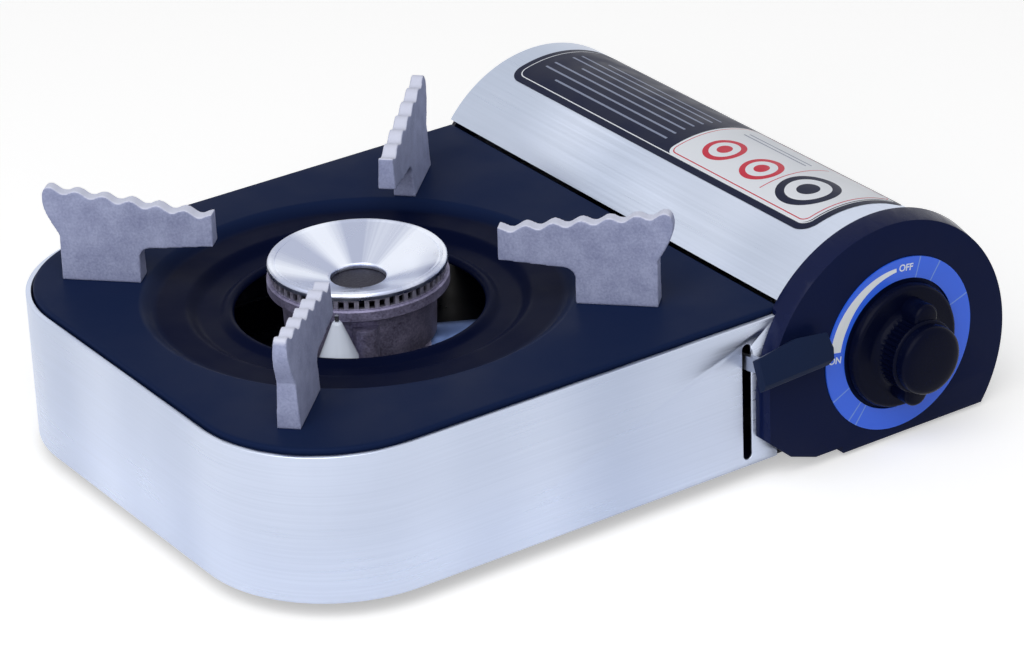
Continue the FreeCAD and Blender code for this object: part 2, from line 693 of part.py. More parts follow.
def support_shape():
    """One support with its foot on z = 0, its length along x from the burner's axis."""
    first = support_inner.value
    pitch = crest_pitch.value
    points = []
    for step in range((CREST_COUNT - 1) * CREST_STEP_COUNT + 1):
        out = first + pitch * step / CREST_STEP_COUNT
        wave = crest_depth.value * (1 - math.cos(2 * math.pi * step / CREST_STEP_COUNT)) / 2
        points.append(FreeCAD.Vector(out, 0, support_rise.value + support_slope.value * (out - first) - wave))
    wavy = Part.BSplineCurve()
    wavy.interpolate(points)
    horn = FreeCAD.Vector(foot_outer.value + horn_reach.value, 0, points[-1].z - 4.5)
    waist = FreeCAD.Vector(foot_outer.value, 0, arm_rise.value + 2)
    outer = Part.BSplineCurve()
    outer.interpolate([points[-1], FreeCAD.Vector(horn.x - 1.2, 0, points[-1].z - 0.9), horn,
                       FreeCAD.Vector(horn.x - 1.4, 0, horn.z - 7), waist])
    corner = FreeCAD.Vector(foot_inner.value, 0, arm_rise.value - 7)
    bend = FreeCAD.Vector(foot_inner.value - 5, 0, arm_rise.value - 2)
    turn_point = FreeCAD.Vector(foot_inner.value - 1.4, 0, arm_rise.value - 3.2)
    tip_low = FreeCAD.Vector(first, 0, arm_rise.value)
    heel_out = FreeCAD.Vector(foot_outer.value, 0, 0)
    heel_in = FreeCAD.Vector(foot_inner.value, 0, 0)
    edges = [wavy.toShape(), outer.toShape(), Part.LineSegment(waist, heel_out).toShape(),
             Part.LineSegment(heel_out, heel_in).toShape(), Part.LineSegment(heel_in, corner).toShape(),
             Part.Arc(corner, turn_point, bend).toShape(), Part.LineSegment(bend, tip_low).toShape(),
             Part.LineSegment(tip_low, points[0]).toShape()]
    half = support_foot_width.value / 2
    face = Part.Face(Part.Wire(edges))
    face.translate(FreeCAD.Vector(0, -half, 0))
    blank = face.extrude(FreeCAD.Vector(0, 2 * half, 0))
    top = support_top.value
    narrow = support_top_width.value / 2
    section = [(half, 0), (narrow, top), (narrow, top + 5), (-narrow, top + 5), (-narrow, top), (-half, 0)]
    loop = [FreeCAD.Vector(first - 5, v, w) for v, w in section]
    wedge = Part.Face(Part.makePolygon(loop + loop[:1])).extrude(FreeCAD.Vector(foot_outer.value, 0, 0))
    solid = blank.common(wedge)
    for out in support_screw_outs:
        pilot = Part.makeCylinder(screw_shank.value + run_gap.value, 7, FreeCAD.Vector(out.value, 0, -1))
        solid = solid.cut(pilot)
    return solid.Solids[0]


for side, angle in SUPPORT_ANGLES.items():
    spin = FreeCAD.Rotation(FreeCAD.Vector(0, 0, 1), angle)
    arm = feature(f"support_{side}", support_shape(), burner_left, burner_front, plate_top, spin)
    finish(arm, f"pan_support_{side}")
finish(screws("plate_screws", support_screw_places, "z", plate_under - screw_head_height, plate_under,
              plate_under, plate_top + 5, screw_head, screw_shank), "support_screws")

# Burner: the cast cup with its flange and elbow, the slotted crown and the polished cap
flange_low = flange_top - flange_height
cup_low = flange_low - cup_depth
cup_inner = cup_radius - cup_wall
cup = spun("cup", [(0, cup_low), (cup_radius - cup_taper, cup_low), (cup_radius, flange_low - 1),
                   (flange_radius - 0.6, flange_low), (flange_radius, flange_low + 0.6),
                   (flange_radius, flange_top - 0.6), (flange_radius - 0.6, flange_top),
                   (cup_inner, flange_top), (cup_inner - 1, cup_low + cup_wall), (0, cup_low + cup_wall)],
           (burner_left, burner_front, 0))
elbow_low = dial_height - tube_radius - cup_wall - 1.5
elbow = rod("elbow", "z", (burner_left, burner_front), elbow_low, cup_low + 1, elbow_radius)
inlet = gas_rod("inlet", 0, elbow_length, tube_radius + cup_wall)
inlet_bore = gas_rod("inlet_bore", elbow_radius, elbow_length + 1, tube_radius + run_gap)
mixing_bore = gas_rod("mixing_bore", -4, elbow_radius + 1, tube_radius - tube_wall)
rise_bore = rod("rise_bore", "z", (burner_left, burner_front), dial_height - 2, cup_low + cup_depth * 0.75,
                tube_radius - tube_wall * 3)
lug_lean = math.radians(-118)
lug_x = cup_radius * math.cos(lug_lean)
lug_y = cup_radius * math.sin(lug_lean)
lug = rod("lug", "z", (burner_left + lug_x, burner_front + lug_y), cup_low, flange_low - 4, 5)
burner_screw_places = [(burner_left - 8, burner_front), (burner_left + 8, burner_front)]
burner_screw_bores = [rod(f"burner_bore{number}", "z", pair, elbow_low - 1, elbow_low + 2.5, screw_shank + run_gap)
                      for number, pair in enumerate(burner_screw_places)]
hub_top = cap_height - cap_dip - cap_wall - 1 - seat_gap
burner_hub = rod("burner_hub", "z", (burner_left, burner_front), cup_low, hub_top, cap_hole + cap_wall * 1.5)
port_height = cup_low + cup_depth * 0.6
ports = [rod(f"burner_port{number}", axis, (across_at, port_height), along_at - cup_radius / 2,
             along_at + cup_radius / 2, tube_radius / 2.4)
         for number, (axis, across_at, along_at) in enumerate((("x", burner_front, burner_left),
                                                               ("y", burner_left, burner_front)))]
burner_bores = fuse("burner_bores", inlet_bore, mixing_bore, rise_bore, *ports, *burner_screw_bores)
finish(cut("burner_cast", fuse("burner_whole", cup, elbow, inlet, lug, burner_hub), burner_bores), "burner_body")

SLOT_COUNT = 54
crown_outer = cap_radius - 0.8
crown_inner = cup_inner + 2
crown_ring = spun("crown_ring", [(crown_inner, flange_top), (crown_outer, flange_top),
                                 (crown_outer, flange_top + slot_height), (crown_inner, flange_top + slot_height)])


def slot_cutters():
    """Thin blocks that cut the flame slots; every third one is taller."""
    blocks = []
    for number in range(SLOT_COUNT):
        rise = slot_height.value * (0.95 if number % 3 == 0 else 0.72)
        block = Part.makeBox(8, slot_width.value, rise, FreeCAD.Vector(crown_outer.value - 5, -slot_width.value / 2,
                                                                       flange_top.value + 0.4))
        block.rotate(FreeCAD.Vector(), FreeCAD.Vector(0, 0, 1), number * 360 / SLOT_COUNT)
        blocks.append(block)
    return Part.makeCompound(blocks)


crown = cut("crown", crown_ring, feature("slot_blocks", slot_cutters()))
finish(put(crown, burner_left, burner_front, 0), "burner_crown")
cap_under = cap_height - cap_wall
finish(spun("cap", [(cap_radius, cap_height - cap_band), (cap_radius, cap_height - 1.4),
                    (cap_radius - 0.3, cap_height - 0.7), (cap_radius - 0.8, cap_height - 0.2),
                    (cap_radius - 1.5, cap_height), (cap_radius - cap_rim, cap_height - 0.1),
                    (cap_hole + 1, cap_height - cap_dip + 0.4), (cap_hole, cap_height - cap_dip - 0.4),
                    (cap_hole, cap_height - cap_dip - cap_wall - 1), (cap_radius - cap_rim - 1, cap_under - 0.6),
                    (cap_radius - cap_wall, cap_under - 0.6), (cap_radius - cap_wall, cap_height - cap_band)],
            (burner_left, burner_front, 0)), "burner_cap")

# Mixing tube from the bay to the burner, and the bracket under the burner
tube_end = jet_start - 4
mixing = cut("mixing", gas_rod("mixing_outside", elbow_radius + 1, tube_end, tube_radius),
             gas_rod("mixing_inside", elbow_radius, tube_end + 1, tube_radius - tube_wall))
finish(mixing, "mixing_tube")
bracket_line = [(burner_left - bracket_half - 14, sheet_wall), (burner_left - bracket_half - 14, sheet_wall * 2),
                (burner_left - bracket_half, sheet_wall * 2), (burner_left - bracket_half, elbow_low),
                (burner_left + bracket_half, elbow_low), (burner_left + bracket_half, sheet_wall * 2),
                (burner_left + bracket_half + 14, sheet_wall * 2), (burner_left + bracket_half + 14, sheet_wall),
                (burner_left + bracket_half - sheet_wall, sheet_wall),
                (burner_left + bracket_half - sheet_wall, elbow_low - sheet_wall),
                (burner_left - bracket_half + sheet_wall, elbow_low - sheet_wall),
                (burner_left - bracket_half + sheet_wall, sheet_wall)]
bridge = slab("bridge", "y", bracket_line, burner_front - 12, burner_front + 12)
bridge_holes = [rod(f"bridge_hole{number}", "z", pair, elbow_low - sheet_wall - 1, elbow_low + 1,
                    screw_shank + run_gap) for number, pair in enumerate(burner_screw_places)]
bridge_holes += [rod(f"bridge_foot_hole{number}", "z", pair, 0, sheet_wall * 3, screw_shank + run_gap)
                 for number, pair in enumerate(base_screw_places[:2])]
finish(cut("bridge_cut", bridge, *bridge_holes), "burner_bracket")
finish(screws("bridge_screws", burner_screw_places, "z", elbow_low - sheet_wall - screw_head_height,
              elbow_low - sheet_wall, elbow_low - sheet_wall, elbow_low + 2.5, screw_head, screw_shank),
       "burner_screws")

# Igniter electrode: a ceramic cone with its wire, on a strap from the burner's flange side
electrode_angle = math.radians(226)
electrode_x = burner_left + electrode_out * math.cos(electrode_angle)
electrode_y = burner_front + electrode_out * math.sin(electrode_angle)
electrode_at = (electrode_x, electrode_y)
ceramic = spun("ceramic", [(wire_radius + run_gap, 0), (ceramic_neck, 0), (ceramic_neck, 6),
                           (ceramic_radius, 6.5), (ceramic_radius, ceramic_length / 2),
                           (ceramic_neck * 0.6, ceramic_length - 0.8), (ceramic_neck * 0.4, ceramic_length),
                           (wire_radius + run_gap, ceramic_length)], (electrode_x, electrode_y, ceramic_low))
finish(ceramic, "electrode_insulator")
finish(rod("pin", "z", electrode_at, ceramic_low - 3, flange_top + 1, wire_radius), "electrode_pin")
strap_foot = box("strap_foot", (electrode_x - 7, electrode_x + 7), (electrode_y - 7, electrode_y + 7),
                 (sheet_wall, sheet_wall * 2))
strap_leg = box("strap_leg", (electrode_x - 7, electrode_x - 6), (electrode_y - 6, electrode_y + 6),
                (sheet_wall, ceramic_low + 5.5))
strap_ring = box("strap_ring", (electrode_x - 7, electrode_x + 6), (electrode_y - 6, electrode_y + 6),
                 (ceramic_low + 4.5, ceramic_low + 5.5))
strap_bore = rod("strap_bore", "z", electrode_at, ceramic_low + 3, ceramic_low + 7, ceramic_neck + run_gap)
finish(cut("strap", fuse("strap_whole", strap_foot, strap_leg, strap_ring), strap_bore), "electrode_bracket")

# Front panel: a moulded cap with a conical rim, open behind, with a bevelled lower corner at its left
panel_back = -panel_front
panel_left = axis_left - panel_front_radius


def panel_solid(name, shrink, front, rear):
    """The panel's blank, wider at its rear, shrunk by a wall: round on top and straight down its left side."""
    front_radius = panel_front_radius - shrink
    rear_radius = panel_rear_radius - shrink
    disc = cone(name + "_disc", "y", (axis_left, axis_height), front, rear, front_radius, rear_radius)
    side_line = [(axis_left - front_radius, front), (axis_left, front), (axis_left, rear),
                 (axis_left - rear_radius, rear)]
    side = slab(name + "_side", "z", side_line, panel_low, axis_height)
    return fuse(name, disc, side)


def panel_corner(name, wall, front, rear):
    """A cutter under the panel's lower left side, which slants down to a step, raised by a wall."""
    far = panel_left - bevel_reach + wall
    level = panel_low + panel_step + wall
    outline = [(far, panel_low - 1), (far, level + bevel_rise + (bevel_turn + bevel_reach) * 0.88),
               (panel_left + bevel_turn + wall, level + bevel_rise), (panel_left + bevel_length + wall, level),
               (step_right + wall, level), (step_right + wall, panel_low - 1)]
    return slab(name, "y", outline, front, rear)


panel_low = -panel_drop
panel_outer = panel_solid("panel_outer", 0, panel_back, panel_lap)
panel_floor = box("panel_floor", (panel_left - 10, axis_left + panel_rear_radius + 10),
                  (panel_back - 1, panel_lap + 1), (panel_low - panel_rear_radius, panel_low))
step_right = axis_left - panel_front_radius / 2.6
panel_notch = panel_corner("panel_notch", 0, panel_back - 1, panel_lap + 1)
notch_cover = panel_corner("notch_cover", panel_wall, panel_back - 2, panel_lap + 2)
band_clear = box("band_clear", (panel_left - 10, chamber_width + seat_gap), (-run_gap, panel_lap + 1),
                 (-panel_rear_radius, plate_top + seat_gap))
panel_cavity = panel_solid("panel_cavity", panel_wall, panel_back + panel_wall, panel_lap + 1)
cavity_floor = box("cavity_floor", (panel_left - 10, axis_left + panel_rear_radius + 10),
                   (panel_back - 2, panel_lap + 2),
                   (panel_low - panel_rear_radius, panel_low + panel_wall))
panel_hollow = cut("panel_hollow", panel_cavity, cavity_floor, notch_cover)
dial_recess = rod("dial_recess", "y", (dial_left, dial_height), panel_back - 1, panel_back + 0.8, dial_hole)
stem_hole = rod("stem_hole", "y", (dial_left, dial_height), panel_back - 1, panel_back + panel_wall + 1,
                stem_radius + 1)
panel_cut = cut("panel_cut", panel_outer, panel_floor, panel_notch, band_clear, panel_hollow, dial_recess, stem_hole)
posts = [rod(f"panel_post{number}", "y", pair, panel_back + panel_wall - 0.5, bulkhead_back, 4)
         for number, pair in enumerate(panel_screw_places())]
post_bores = [rod(f"post_bore{number}", "y", pair, bulkhead_back - 7, bulkhead_back + 1, screw_shank + run_gap)
              for number, pair in enumerate(panel_screw_places())]
finish(cut("panel", fuse("panel_whole", panel_cut, *posts), *post_bores), "front_panel")
finish(screws("posts_screws", panel_screw_places(), "y", bulkhead_rear, bulkhead_rear + screw_head_height,
              bulkhead_back - 7, bulkhead_rear, screw_head, screw_shank), "panel_screws")
finish(tube("dial", "y", (dial_left, dial_height), panel_back - dial_wall, panel_back, dial_radius, dial_hole),
       "dial_plate")

# Control knob: a turned body outwards from the panel, with a cross bar and a bore for the stem
knob_base = panel_back - knob_gap
knob_turned = spun("knob_turned", [(0, 0), (knob_flange_radius, 0), (knob_flange_radius - 1, knob_flange_depth),
                                   (knob_barrel_radius, knob_flange_depth + 1.2),
                                   (knob_barrel_radius, knob_barrel_depth),
                                   (knob_cap_radius, knob_barrel_depth + 0.6), (knob_cap_radius, knob_depth - 3),
                                   (knob_cap_radius - 1.2, knob_depth - 1.2), (knob_cap_radius - 4, knob_depth - 0.3),
                                   (0, knob_depth)], (dial_left, knob_base, dial_height), "-y")
bar_half = knob_bar_length / 2 - knob_bar_width / 2
bar_half_width = knob_bar_width / 2


def bar_shape():
    """The cross bar with round ends, upright along z, standing forward from y = 0."""
    depth = knob_bar_depth.value
    half = bar_half.value
    width = bar_half_width.value
    block = Part.makeBox(2 * width, depth, 2 * half, FreeCAD.Vector(-width, -depth, -half))
    for end in (-half, half):
        block = block.fuse(Part.makeCylinder(width, depth, FreeCAD.Vector(0, -depth, end), FreeCAD.Vector(0, 1, 0)))
    return block.removeSplitter()


bar_turn = FreeCAD.Rotation(FreeCAD.Vector(0, 1, 0), knob_bar_lean.value)
bar = feature("bar", bar_shape(), dial_left, knob_base - 1, dial_height, bar_turn)
knob_bore = rod("knob_bore", "y", (dial_left, dial_height), knob_base - knob_barrel_depth, knob_base + 1,
                stem_radius + run_gap)
finish(cut("knob", fuse("knob_whole", knob_turned, bar), knob_bore), "control_knob")
stem_rear = bulkhead_rear + regulator_length / 2
finish(rod("stem", "y", (dial_left, dial_height), knob_base - knob_barrel_depth + 1, stem_rear, stem_radius),
       "valve_stem")

# Snail cam on the stem: its radius grows by the plunger's travel over the knob's turn
cam_front = panel_back + panel_wall + 1


def cam_shape():
    """A spiral outline from the left side round to the top, seen from the front."""
    low = cam_radius.value
    sweep = cam_sweep.value + 15
    rate = cam_lift.value / cam_sweep.value
    points = []
    for step in range(13):
        turn = sweep * step / 12
        reach = low + rate * turn
        angle = math.radians(180 - turn)
        points.append(FreeCAD.Vector(reach * math.cos(angle), 0, reach * math.sin(angle)))
    spiral = Part.BSplineCurve()
    spiral.interpolate(points)
    end_angle = math.radians(180 - sweep)
    inner = FreeCAD.Vector(low * math.cos(end_angle), 0, low * math.sin(end_angle))
    middle_angle = math.radians((180 - sweep - 180) / 2)
    middle = FreeCAD.Vector(low * math.cos(middle_angle), 0, low * math.sin(middle_angle))
    edges = [spiral.toShape(), Part.LineSegment(points[-1], inner).toShape(),
             Part.Arc(inner, middle, points[0]).toShape()]
    disc = Part.Face(Part.Wire(edges)).extrude(FreeCAD.Vector(0, cam_width.value, 0))
    bore = Part.makeCylinder(stem_radius.value + run_gap.value, 40, FreeCAD.Vector(0, -20, 0),
                             FreeCAD.Vector(0, 1, 0))
    return disc.cut(bore).Solids[0]


finish(feature("cam", cam_shape(), dial_left, cam_front, dial_height), "igniter_cam")

# Piezo igniter: a block in front of the bulkhead, with its plunger against the cam
piezo_y = cam_front + cam_width / 2
piezo_half = piezo_size / 2
plunger_tip = dial_left - cam_radius - seat_gap * 2
piezo_right = plunger_tip - cam_lift - 1
piezo_left = partition_right + 1
piezo_block = box("piezo_block", (piezo_left, piezo_right), (panel_back + panel_wall + seat_gap, bulkhead_back),
                  (dial_height - piezo_half, dial_height + piezo_half))
plunger_bore = rod("plunger_bore", "x", (piezo_y, dial_height), piezo_right - 14, piezo_right + 1,
                   plunger_radius + run_gap)
finish(cut("piezo", piezo_block, plunger_bore), "piezo_igniter")
finish(rod("plunger", "x", (piezo_y, dial_height), piezo_right - 9, plunger_tip, plunger_radius), "piezo_plunger")

# Regulator: a die-cast body behind the bulkhead, with its diaphragm chamber on top and the jet at its left
core = rod("core", "y", (dial_left, dial_height), bulkhead_rear, regulator_rear, regulator_radius)
ears = rod("ears", "y", (dial_left, dial_height), bulkhead_rear, bulkhead_rear + 4, regulator_screw_circle + 3.5)
chamber_at = (dial_left, bulkhead_rear + chamber_radius + 2)
chamber = rod("chamber", "z", chamber_at, dial_height,
              dial_height + chamber_rise, chamber_radius)
jet_boss = gas_rod("jet_boss", jet_start + 14, tube_run - regulator_radius / 2, boss_radius)
stem_bore = rod("stem_bore", "y", (dial_left, dial_height), bulkhead_back, stem_rear + 1, stem_radius + run_gap)
inlet_hole = rod("inlet_hole", "y", (dial_left, dial_height), stem_rear + 4, regulator_rear + 1, 2.2)
spring_bore = rod("spring_bore", "z", chamber_at, dial_height + 8,
                  dial_height + chamber_rise + 1, chamber_radius - 4)
ear_bores = [rod(f"ear_bore{number}", "y", pair, bulkhead_back, bulkhead_rear + 5, screw_shank + run_gap)
             for number, pair in enumerate(regulator_screw_places())]
jet_bore = gas_rod("jet_bore", jet_start + 13, jet_start + 20, jet_radius + run_gap)
finish(cut("regulator", fuse("regulator_whole", core, ears, chamber, jet_boss), stem_bore, inlet_hole,
           spring_bore, jet_bore, *ear_bores), "regulator_body")
chamber_top = dial_height + chamber_rise
finish(rod("diaphragm", "z", chamber_at, chamber_top, chamber_top + sheet_wall, chamber_radius),
       "regulator_diaphragm")
finish(spun("chamber_cover", [(0, sheet_wall), (chamber_radius, sheet_wall), (chamber_radius, sheet_wall * 2),
                              (chamber_radius - 2, sheet_wall * 2), (chamber_radius - 4, sheet_wall * 6),
                              (0, sheet_wall * 6)], (*chamber_at, chamber_top)), "regulator_cover")


def coil(radius, wire, length, turns):
    """A round-wire coil along its own z axis."""
    path = Part.makeHelix(length / turns, length, radius)
    ring = Part.Wire(Part.makeCircle(wire, FreeCAD.Vector(radius, 0, 0), FreeCAD.Vector(0, 1, 0)))
    return Part.Wire(path).makePipeShell([ring], True, True)


spring_length = chamber_rise.value - 8
finish(feature("chamber_spring", coil(5, 0.6, spring_length - 1.4, 5), chamber_at[0], chamber_at[1],
               dial_height + 8.7), "regulator_spring")
finish(screws("ear_screws", regulator_screw_places(), "y", bulkhead_back - screw_head_height, bulkhead_back,
              bulkhead_back, bulkhead_rear + 4, screw_head - 0.5, screw_shank), "regulator_screws")
finish(cut("nozzle", fuse("nozzle_whole", gas_rod("nozzle_tip", jet_start, jet_start + 8, jet_radius - 1),
                          gas_rod("nozzle_hex", jet_start + 5, jet_start + 20, jet_radius)),
           gas_rod("nozzle_bore", jet_start - 1, jet_start + 21, 0.6)), "jet_nozzle")
guide_plate = tube("guide_plate", "y", (dial_left, dial_height), regulator_rear, regulator_rear + sheet_wall * 1.5,
                   guide_radius, 13)
guide_tab = box("guide_tab", (dial_left - 2.5, dial_left + 2.5),
                (regulator_rear + sheet_wall, regulator_rear + sheet_wall + 5),
                (dial_height + 20, dial_height + 22))
guide_notch = box("guide_notch", (dial_left - guide_radius - 1, dial_left - 9),
                  (regulator_rear - 1, regulator_rear + sheet_wall * 2),
                  (dial_height - boss_radius - 1, dial_height + boss_radius + 1))
finish(cut("guide", fuse("guide_whole", guide_plate, guide_tab), guide_notch), "cartridge_guide_ring")
finish(tube("seal", "y", (dial_left, dial_height), regulator_rear, regulator_rear + 2.5, 5.5, 2.5), "inlet_seal")

# Ignition lead, clipped along the floor from the igniter to the electrode
lead_points = [(lead_left, bulkhead_back - 3, lead_low),
               (lead_left, lead_back, lead_low),
               (chamber_width - 20, lead_back, lead_low),
               (burner_left + lead_side, burner_front - lead_front, sheet_wall + 3),
               (electrode_x + 12, electrode_y - 30, sheet_wall + 3),
               (electrode_x, electrode_y, sheet_wall + 6),
               (electrode_x, electrode_y, ceramic_low - 3.2)]


def lead_path():
    """Straight runs joined by tangent arcs, each arc as large as its two runs allow."""
    corners = [FreeCAD.Vector(*(as_size(value).value for value in point)) for point in lead_points]
    edges = []
    start = corners[0]
    for before, corner, after in zip(corners, corners[1:], corners[2:]):
        back = (before - corner).normalize()
        ahead = (after - corner).normalize()
        half_turn = (math.pi - back.getAngle(ahead)) / 2
        reach = 0.45 * min((before - corner).Length, (after - corner).Length)
        radius = reach / math.tan(half_turn)
        enter = corner + back * reach
        leave = corner + ahead * reach
        bisector = (back + ahead).normalize()
        middle = corner + bisector * (radius / math.cos(half_turn) - radius)
        print("lead arc radius", round(radius, 1))
        edges.append(Part.LineSegment(start, enter).toShape())
        edges.append(Part.Arc(enter, middle, leave).toShape())
        start = leave
    edges.append(Part.LineSegment(start, corners[-1]).toShape())
    return Part.Wire(edges)


def lead_shape():
    path = lead_path()
    direction = path.Edges[0].tangentAt(path.Edges[0].FirstParameter)
    ring = Part.Wire(Part.makeCircle(lead_radius.value, path.Edges[0].Vertexes[0].Point, direction))
    pipe = path.makePipeShell([ring], True, False)
    print("lead length", round(path.Length, 1), "volume share",
          round(pipe.Volume / (math.pi * lead_radius.value ** 2 * path.Length), 3))
    return pipe


finish(feature("lead", lead_shape()), "ignition_lead")
finish(tube("grommet", "x", (lead_back, lead_low), chamber_width - 1.2, partition_right + 1.2, lead_radius * 3,
            lead_radius + run_gap), "lead_grommet")

# Cartridge lever: a steel arm on its pivot, with the crank that moves the pusher and the moulded grip
arm_left = slot_left - arm_wall / 2
arm_right = slot_left + arm_wall / 2
rise_angle = math.radians(arm_rise_angle.value)


def lever_shape():
    """The arm in its own frame: the pivot at the origin, its length along -y."""
    reach = lever_reach.value
    tall = arm_height.value
    low = arm_lift.value - tall / 2
    wall = arm_wall.value
    beam = Part.makeBox(wall, reach, tall, FreeCAD.Vector(-wall / 2, -reach, low))
    crank = Part.makeBox(wall, 8, crank_radius.value + 4, FreeCAD.Vector(-wall / 2, -4, 0))
    beam.rotate(FreeCAD.Vector(), FreeCAD.Vector(1, 0, 0), -arm_rise_angle.value)
    sideways = FreeCAD.Vector(1, 0, 0)
    hub = Part.makeCylinder(hub_radius.value, hub_width.value, FreeCAD.Vector(-hub_width.value / 2, 0, 0), sideways)
    pin_length = (chamber_width - slot_left).value - 0.8
    crank_pin = Part.makeCylinder(2, pin_length, FreeCAD.Vector(0, 0, crank_radius.value), sideways)
    bore = Part.makeCylinder(pivot_radius.value + run_gap.value, 40, FreeCAD.Vector(-20, 0, 0), sideways)
    return beam.fuse([crank, hub, crank_pin]).cut(bore).removeSplitter().Solids[0]


finish(feature("arm", lever_shape(), slot_left, lever_back, lever_height), "lever_arm")


# The grip's outline seen from the front, as shares of its length and its height
GRIP_OUTLINE = ((-0.18, -0.53), (0.72, -0.42), (0.785, -0.3), (0.83, 0.1), (0.815, 0.72), (0.42, 0.87),
                (-0.134, 0.62))


def grip_shape():
    """The moulded grip in the pivot's frame, tilted so that it stands upright when pushed down."""
    wall = grip_wall.value
    corners = [FreeCAD.Vector(along * grip_length.value, -wall / 2, up * grip_height.value)
               for along, up in GRIP_OUTLINE]
    face = Part.Face(Part.makePolygon(corners + corners[:1]))
    block = face.extrude(FreeCAD.Vector(0, wall, 0))
    upright = [edge for edge in block.Edges if abs(edge.tangentAt(0).y) > 0.9 and edge.BoundBox.XMin > 1
               and edge.BoundBox.ZMin > 0]
    block = block.makeFillet(1.2, upright)
    wedge = Part.makeBox(3 * grip_length.value, wall, wall, FreeCAD.Vector(-grip_length.value, -wall, -wall))
    wedge.rotate(FreeCAD.Vector(), FreeCAD.Vector(1, 0, 0), 45)
    first, second = GRIP_OUTLINE[0], GRIP_OUTLINE[1]
    run = (second[0] - first[0]) * grip_length.value
    climb = (second[1] - first[1]) * grip_height.value
    wedge.rotate(FreeCAD.Vector(), FreeCAD.Vector(0, 1, 0), -math.degrees(math.atan2(climb, run)))
    wedge.translate(FreeCAD.Vector(first[0] * grip_length.value, -wall / 2, first[1] * grip_height.value + wall * 0.35))
    block = block.cut(wedge)
    block.rotate(FreeCAD.Vector(), FreeCAD.Vector(1, 0, 0), -lever_sweep.value)
    reach = lever_reach.value
    block.translate(FreeCAD.Vector(0, -reach * math.cos(rise_angle), reach * math.sin(rise_angle)))
    beam = Part.makeBox(arm_wall.value + 0.02, reach * 2, arm_height.value + 0.02,
                        FreeCAD.Vector(-arm_wall.value / 2 - 0.01, -reach,
                                       arm_lift.value - arm_height.value / 2 - 0.01))
    beam.rotate(FreeCAD.Vector(), FreeCAD.Vector(1, 0, 0), -arm_rise_angle.value)
    return block.cut(beam).Solids[0]


finish(feature("grip", grip_shape(), slot_left, lever_back, lever_height), "lever_grip")
stand_right = slot_left + hub_width / 2 + seat_gap
pivot_shaft = rod("pivot_shaft", "x", (lever_back, lever_height), stand_left - sheet_wall - 1,
                  stand_right + sheet_wall + 1, pivot_radius)
pivot_head = rod("pivot_head", "x", (lever_back, lever_height), stand_left - sheet_wall - 2.5,
                 stand_left - sheet_wall, pivot_radius + 2)
finish(fuse("pivot", pivot_shaft, pivot_head), "lever_pivot_pin")
stand_span = (lever_back - 8, lever_back + pivot_radius + 2)
stand_foot = box("stand_foot", (stand_left - sheet_wall - 12, stand_right + sheet_wall), stand_span,
                 (sheet_wall, sheet_wall * 2))
stand_webs = [box(f"stand_web{number}", span, stand_span, (sheet_wall, lever_height + hub_radius))
              for number, span in enumerate(((stand_left - sheet_wall, stand_left),
                                             (stand_right, stand_right + sheet_wall)))]
stand_bore = rod("stand_bore", "x", (lever_back, lever_height), stand_left - 5, stand_right + 5, pivot_radius)
stand_hole = rod("stand_hole", "z", (stand_left - sheet_wall - 6, lever_back), 0, sheet_wall * 3,
                 screw_shank + run_gap)
finish(cut("stand", fuse("stand_whole", stand_foot, *stand_webs), stand_bore, stand_hole), "lever_bracket")
spring_run = spring_room.value - 2 * spring_wire.value - 2 * seat_gap.value
finish(feature("lever_coil", coil(pivot_radius.value + spring_wire.value + 0.6, spring_wire.value, spring_run, 3),
               stand_left + spring_wire + seat_gap, lever_back, lever_height, TURNS["x"]), "lever_spring")

# Pusher: a strip beside the partition that draws a plate against the cartridge's rear end
pusher_right = chamber_width - seat_gap
pusher_left = pusher_right - pusher_wall
strip = box("strip", (pusher_left, pusher_right), (lever_back + 8, pusher_rest + pusher_wall),
            (pusher_low, pusher_low + pusher_height))
yoke = box("yoke", (pusher_left, pusher_right), (lever_back - 8, lever_back + 9),
           (pusher_low - 2, plate_under - 2))
yoke_slot = box("yoke_slot", (pusher_left - 1, pusher_right + 1), (lever_back - 2.4, lever_back + 2.4),
                (pusher_low - 1, lever_height + crank_radius + 3))
tab = box("tab", (pusher_left, partition_right + 22), (pusher_rest, pusher_rest + pusher_wall),
          (pusher_low, pusher_low + pusher_height))
push_plate = box("push_plate", (partition_right + 20, dial_left + 20), (pusher_rest, pusher_rest + pusher_wall),
                 (dial_height - 20, pusher_low + pusher_height))
finish(cut("pusher", fuse("pusher_whole", strip, yoke, tab, push_plate), yoke_slot), "cartridge_pusher")
guides = []
for number, share in enumerate((0.45, 0.7)):
    guide_front = band_depth * share
    for place, low in (("under", pusher_low - seat_gap - 3), ("over", pusher_low + pusher_height + seat_gap)):
        guides.append(box(f"pusher_guide_{place}{number}", (pusher_left - 3, chamber_width),
                          (guide_front, guide_front + 10), (low, low + 3)))
finish(group("guides", *guides), "pusher_guides")

# Lid over the bay: a half-round sheet hinged on its outer side
cover_front = panel_lap + seat_gap * 2
cover_rear = band_depth - seat_gap
lid_low_left = plate_top + seat_gap * 2
lid_low_right = hinge_height + hinge_radius + seat_gap
lid_shell = tube("lid_shell", "y", (axis_left, axis_height), cover_front, cover_rear, cover_radius,
                 cover_radius - cover_wall)
lid_left = box("lid_left", (axis_left - cover_radius - 1, axis_left),
               (cover_front - 1, cover_rear + 1), (lid_low_left, axis_height + cover_radius + 1))
lid_right = box("lid_right", (axis_left, axis_left + cover_radius + 1), (cover_front - 1, cover_rear + 1),
                (lid_low_right, axis_height + cover_radius + 1))
finish(common("lid", lid_shell, fuse("lid_window", lid_left, lid_right)), "cartridge_cover")


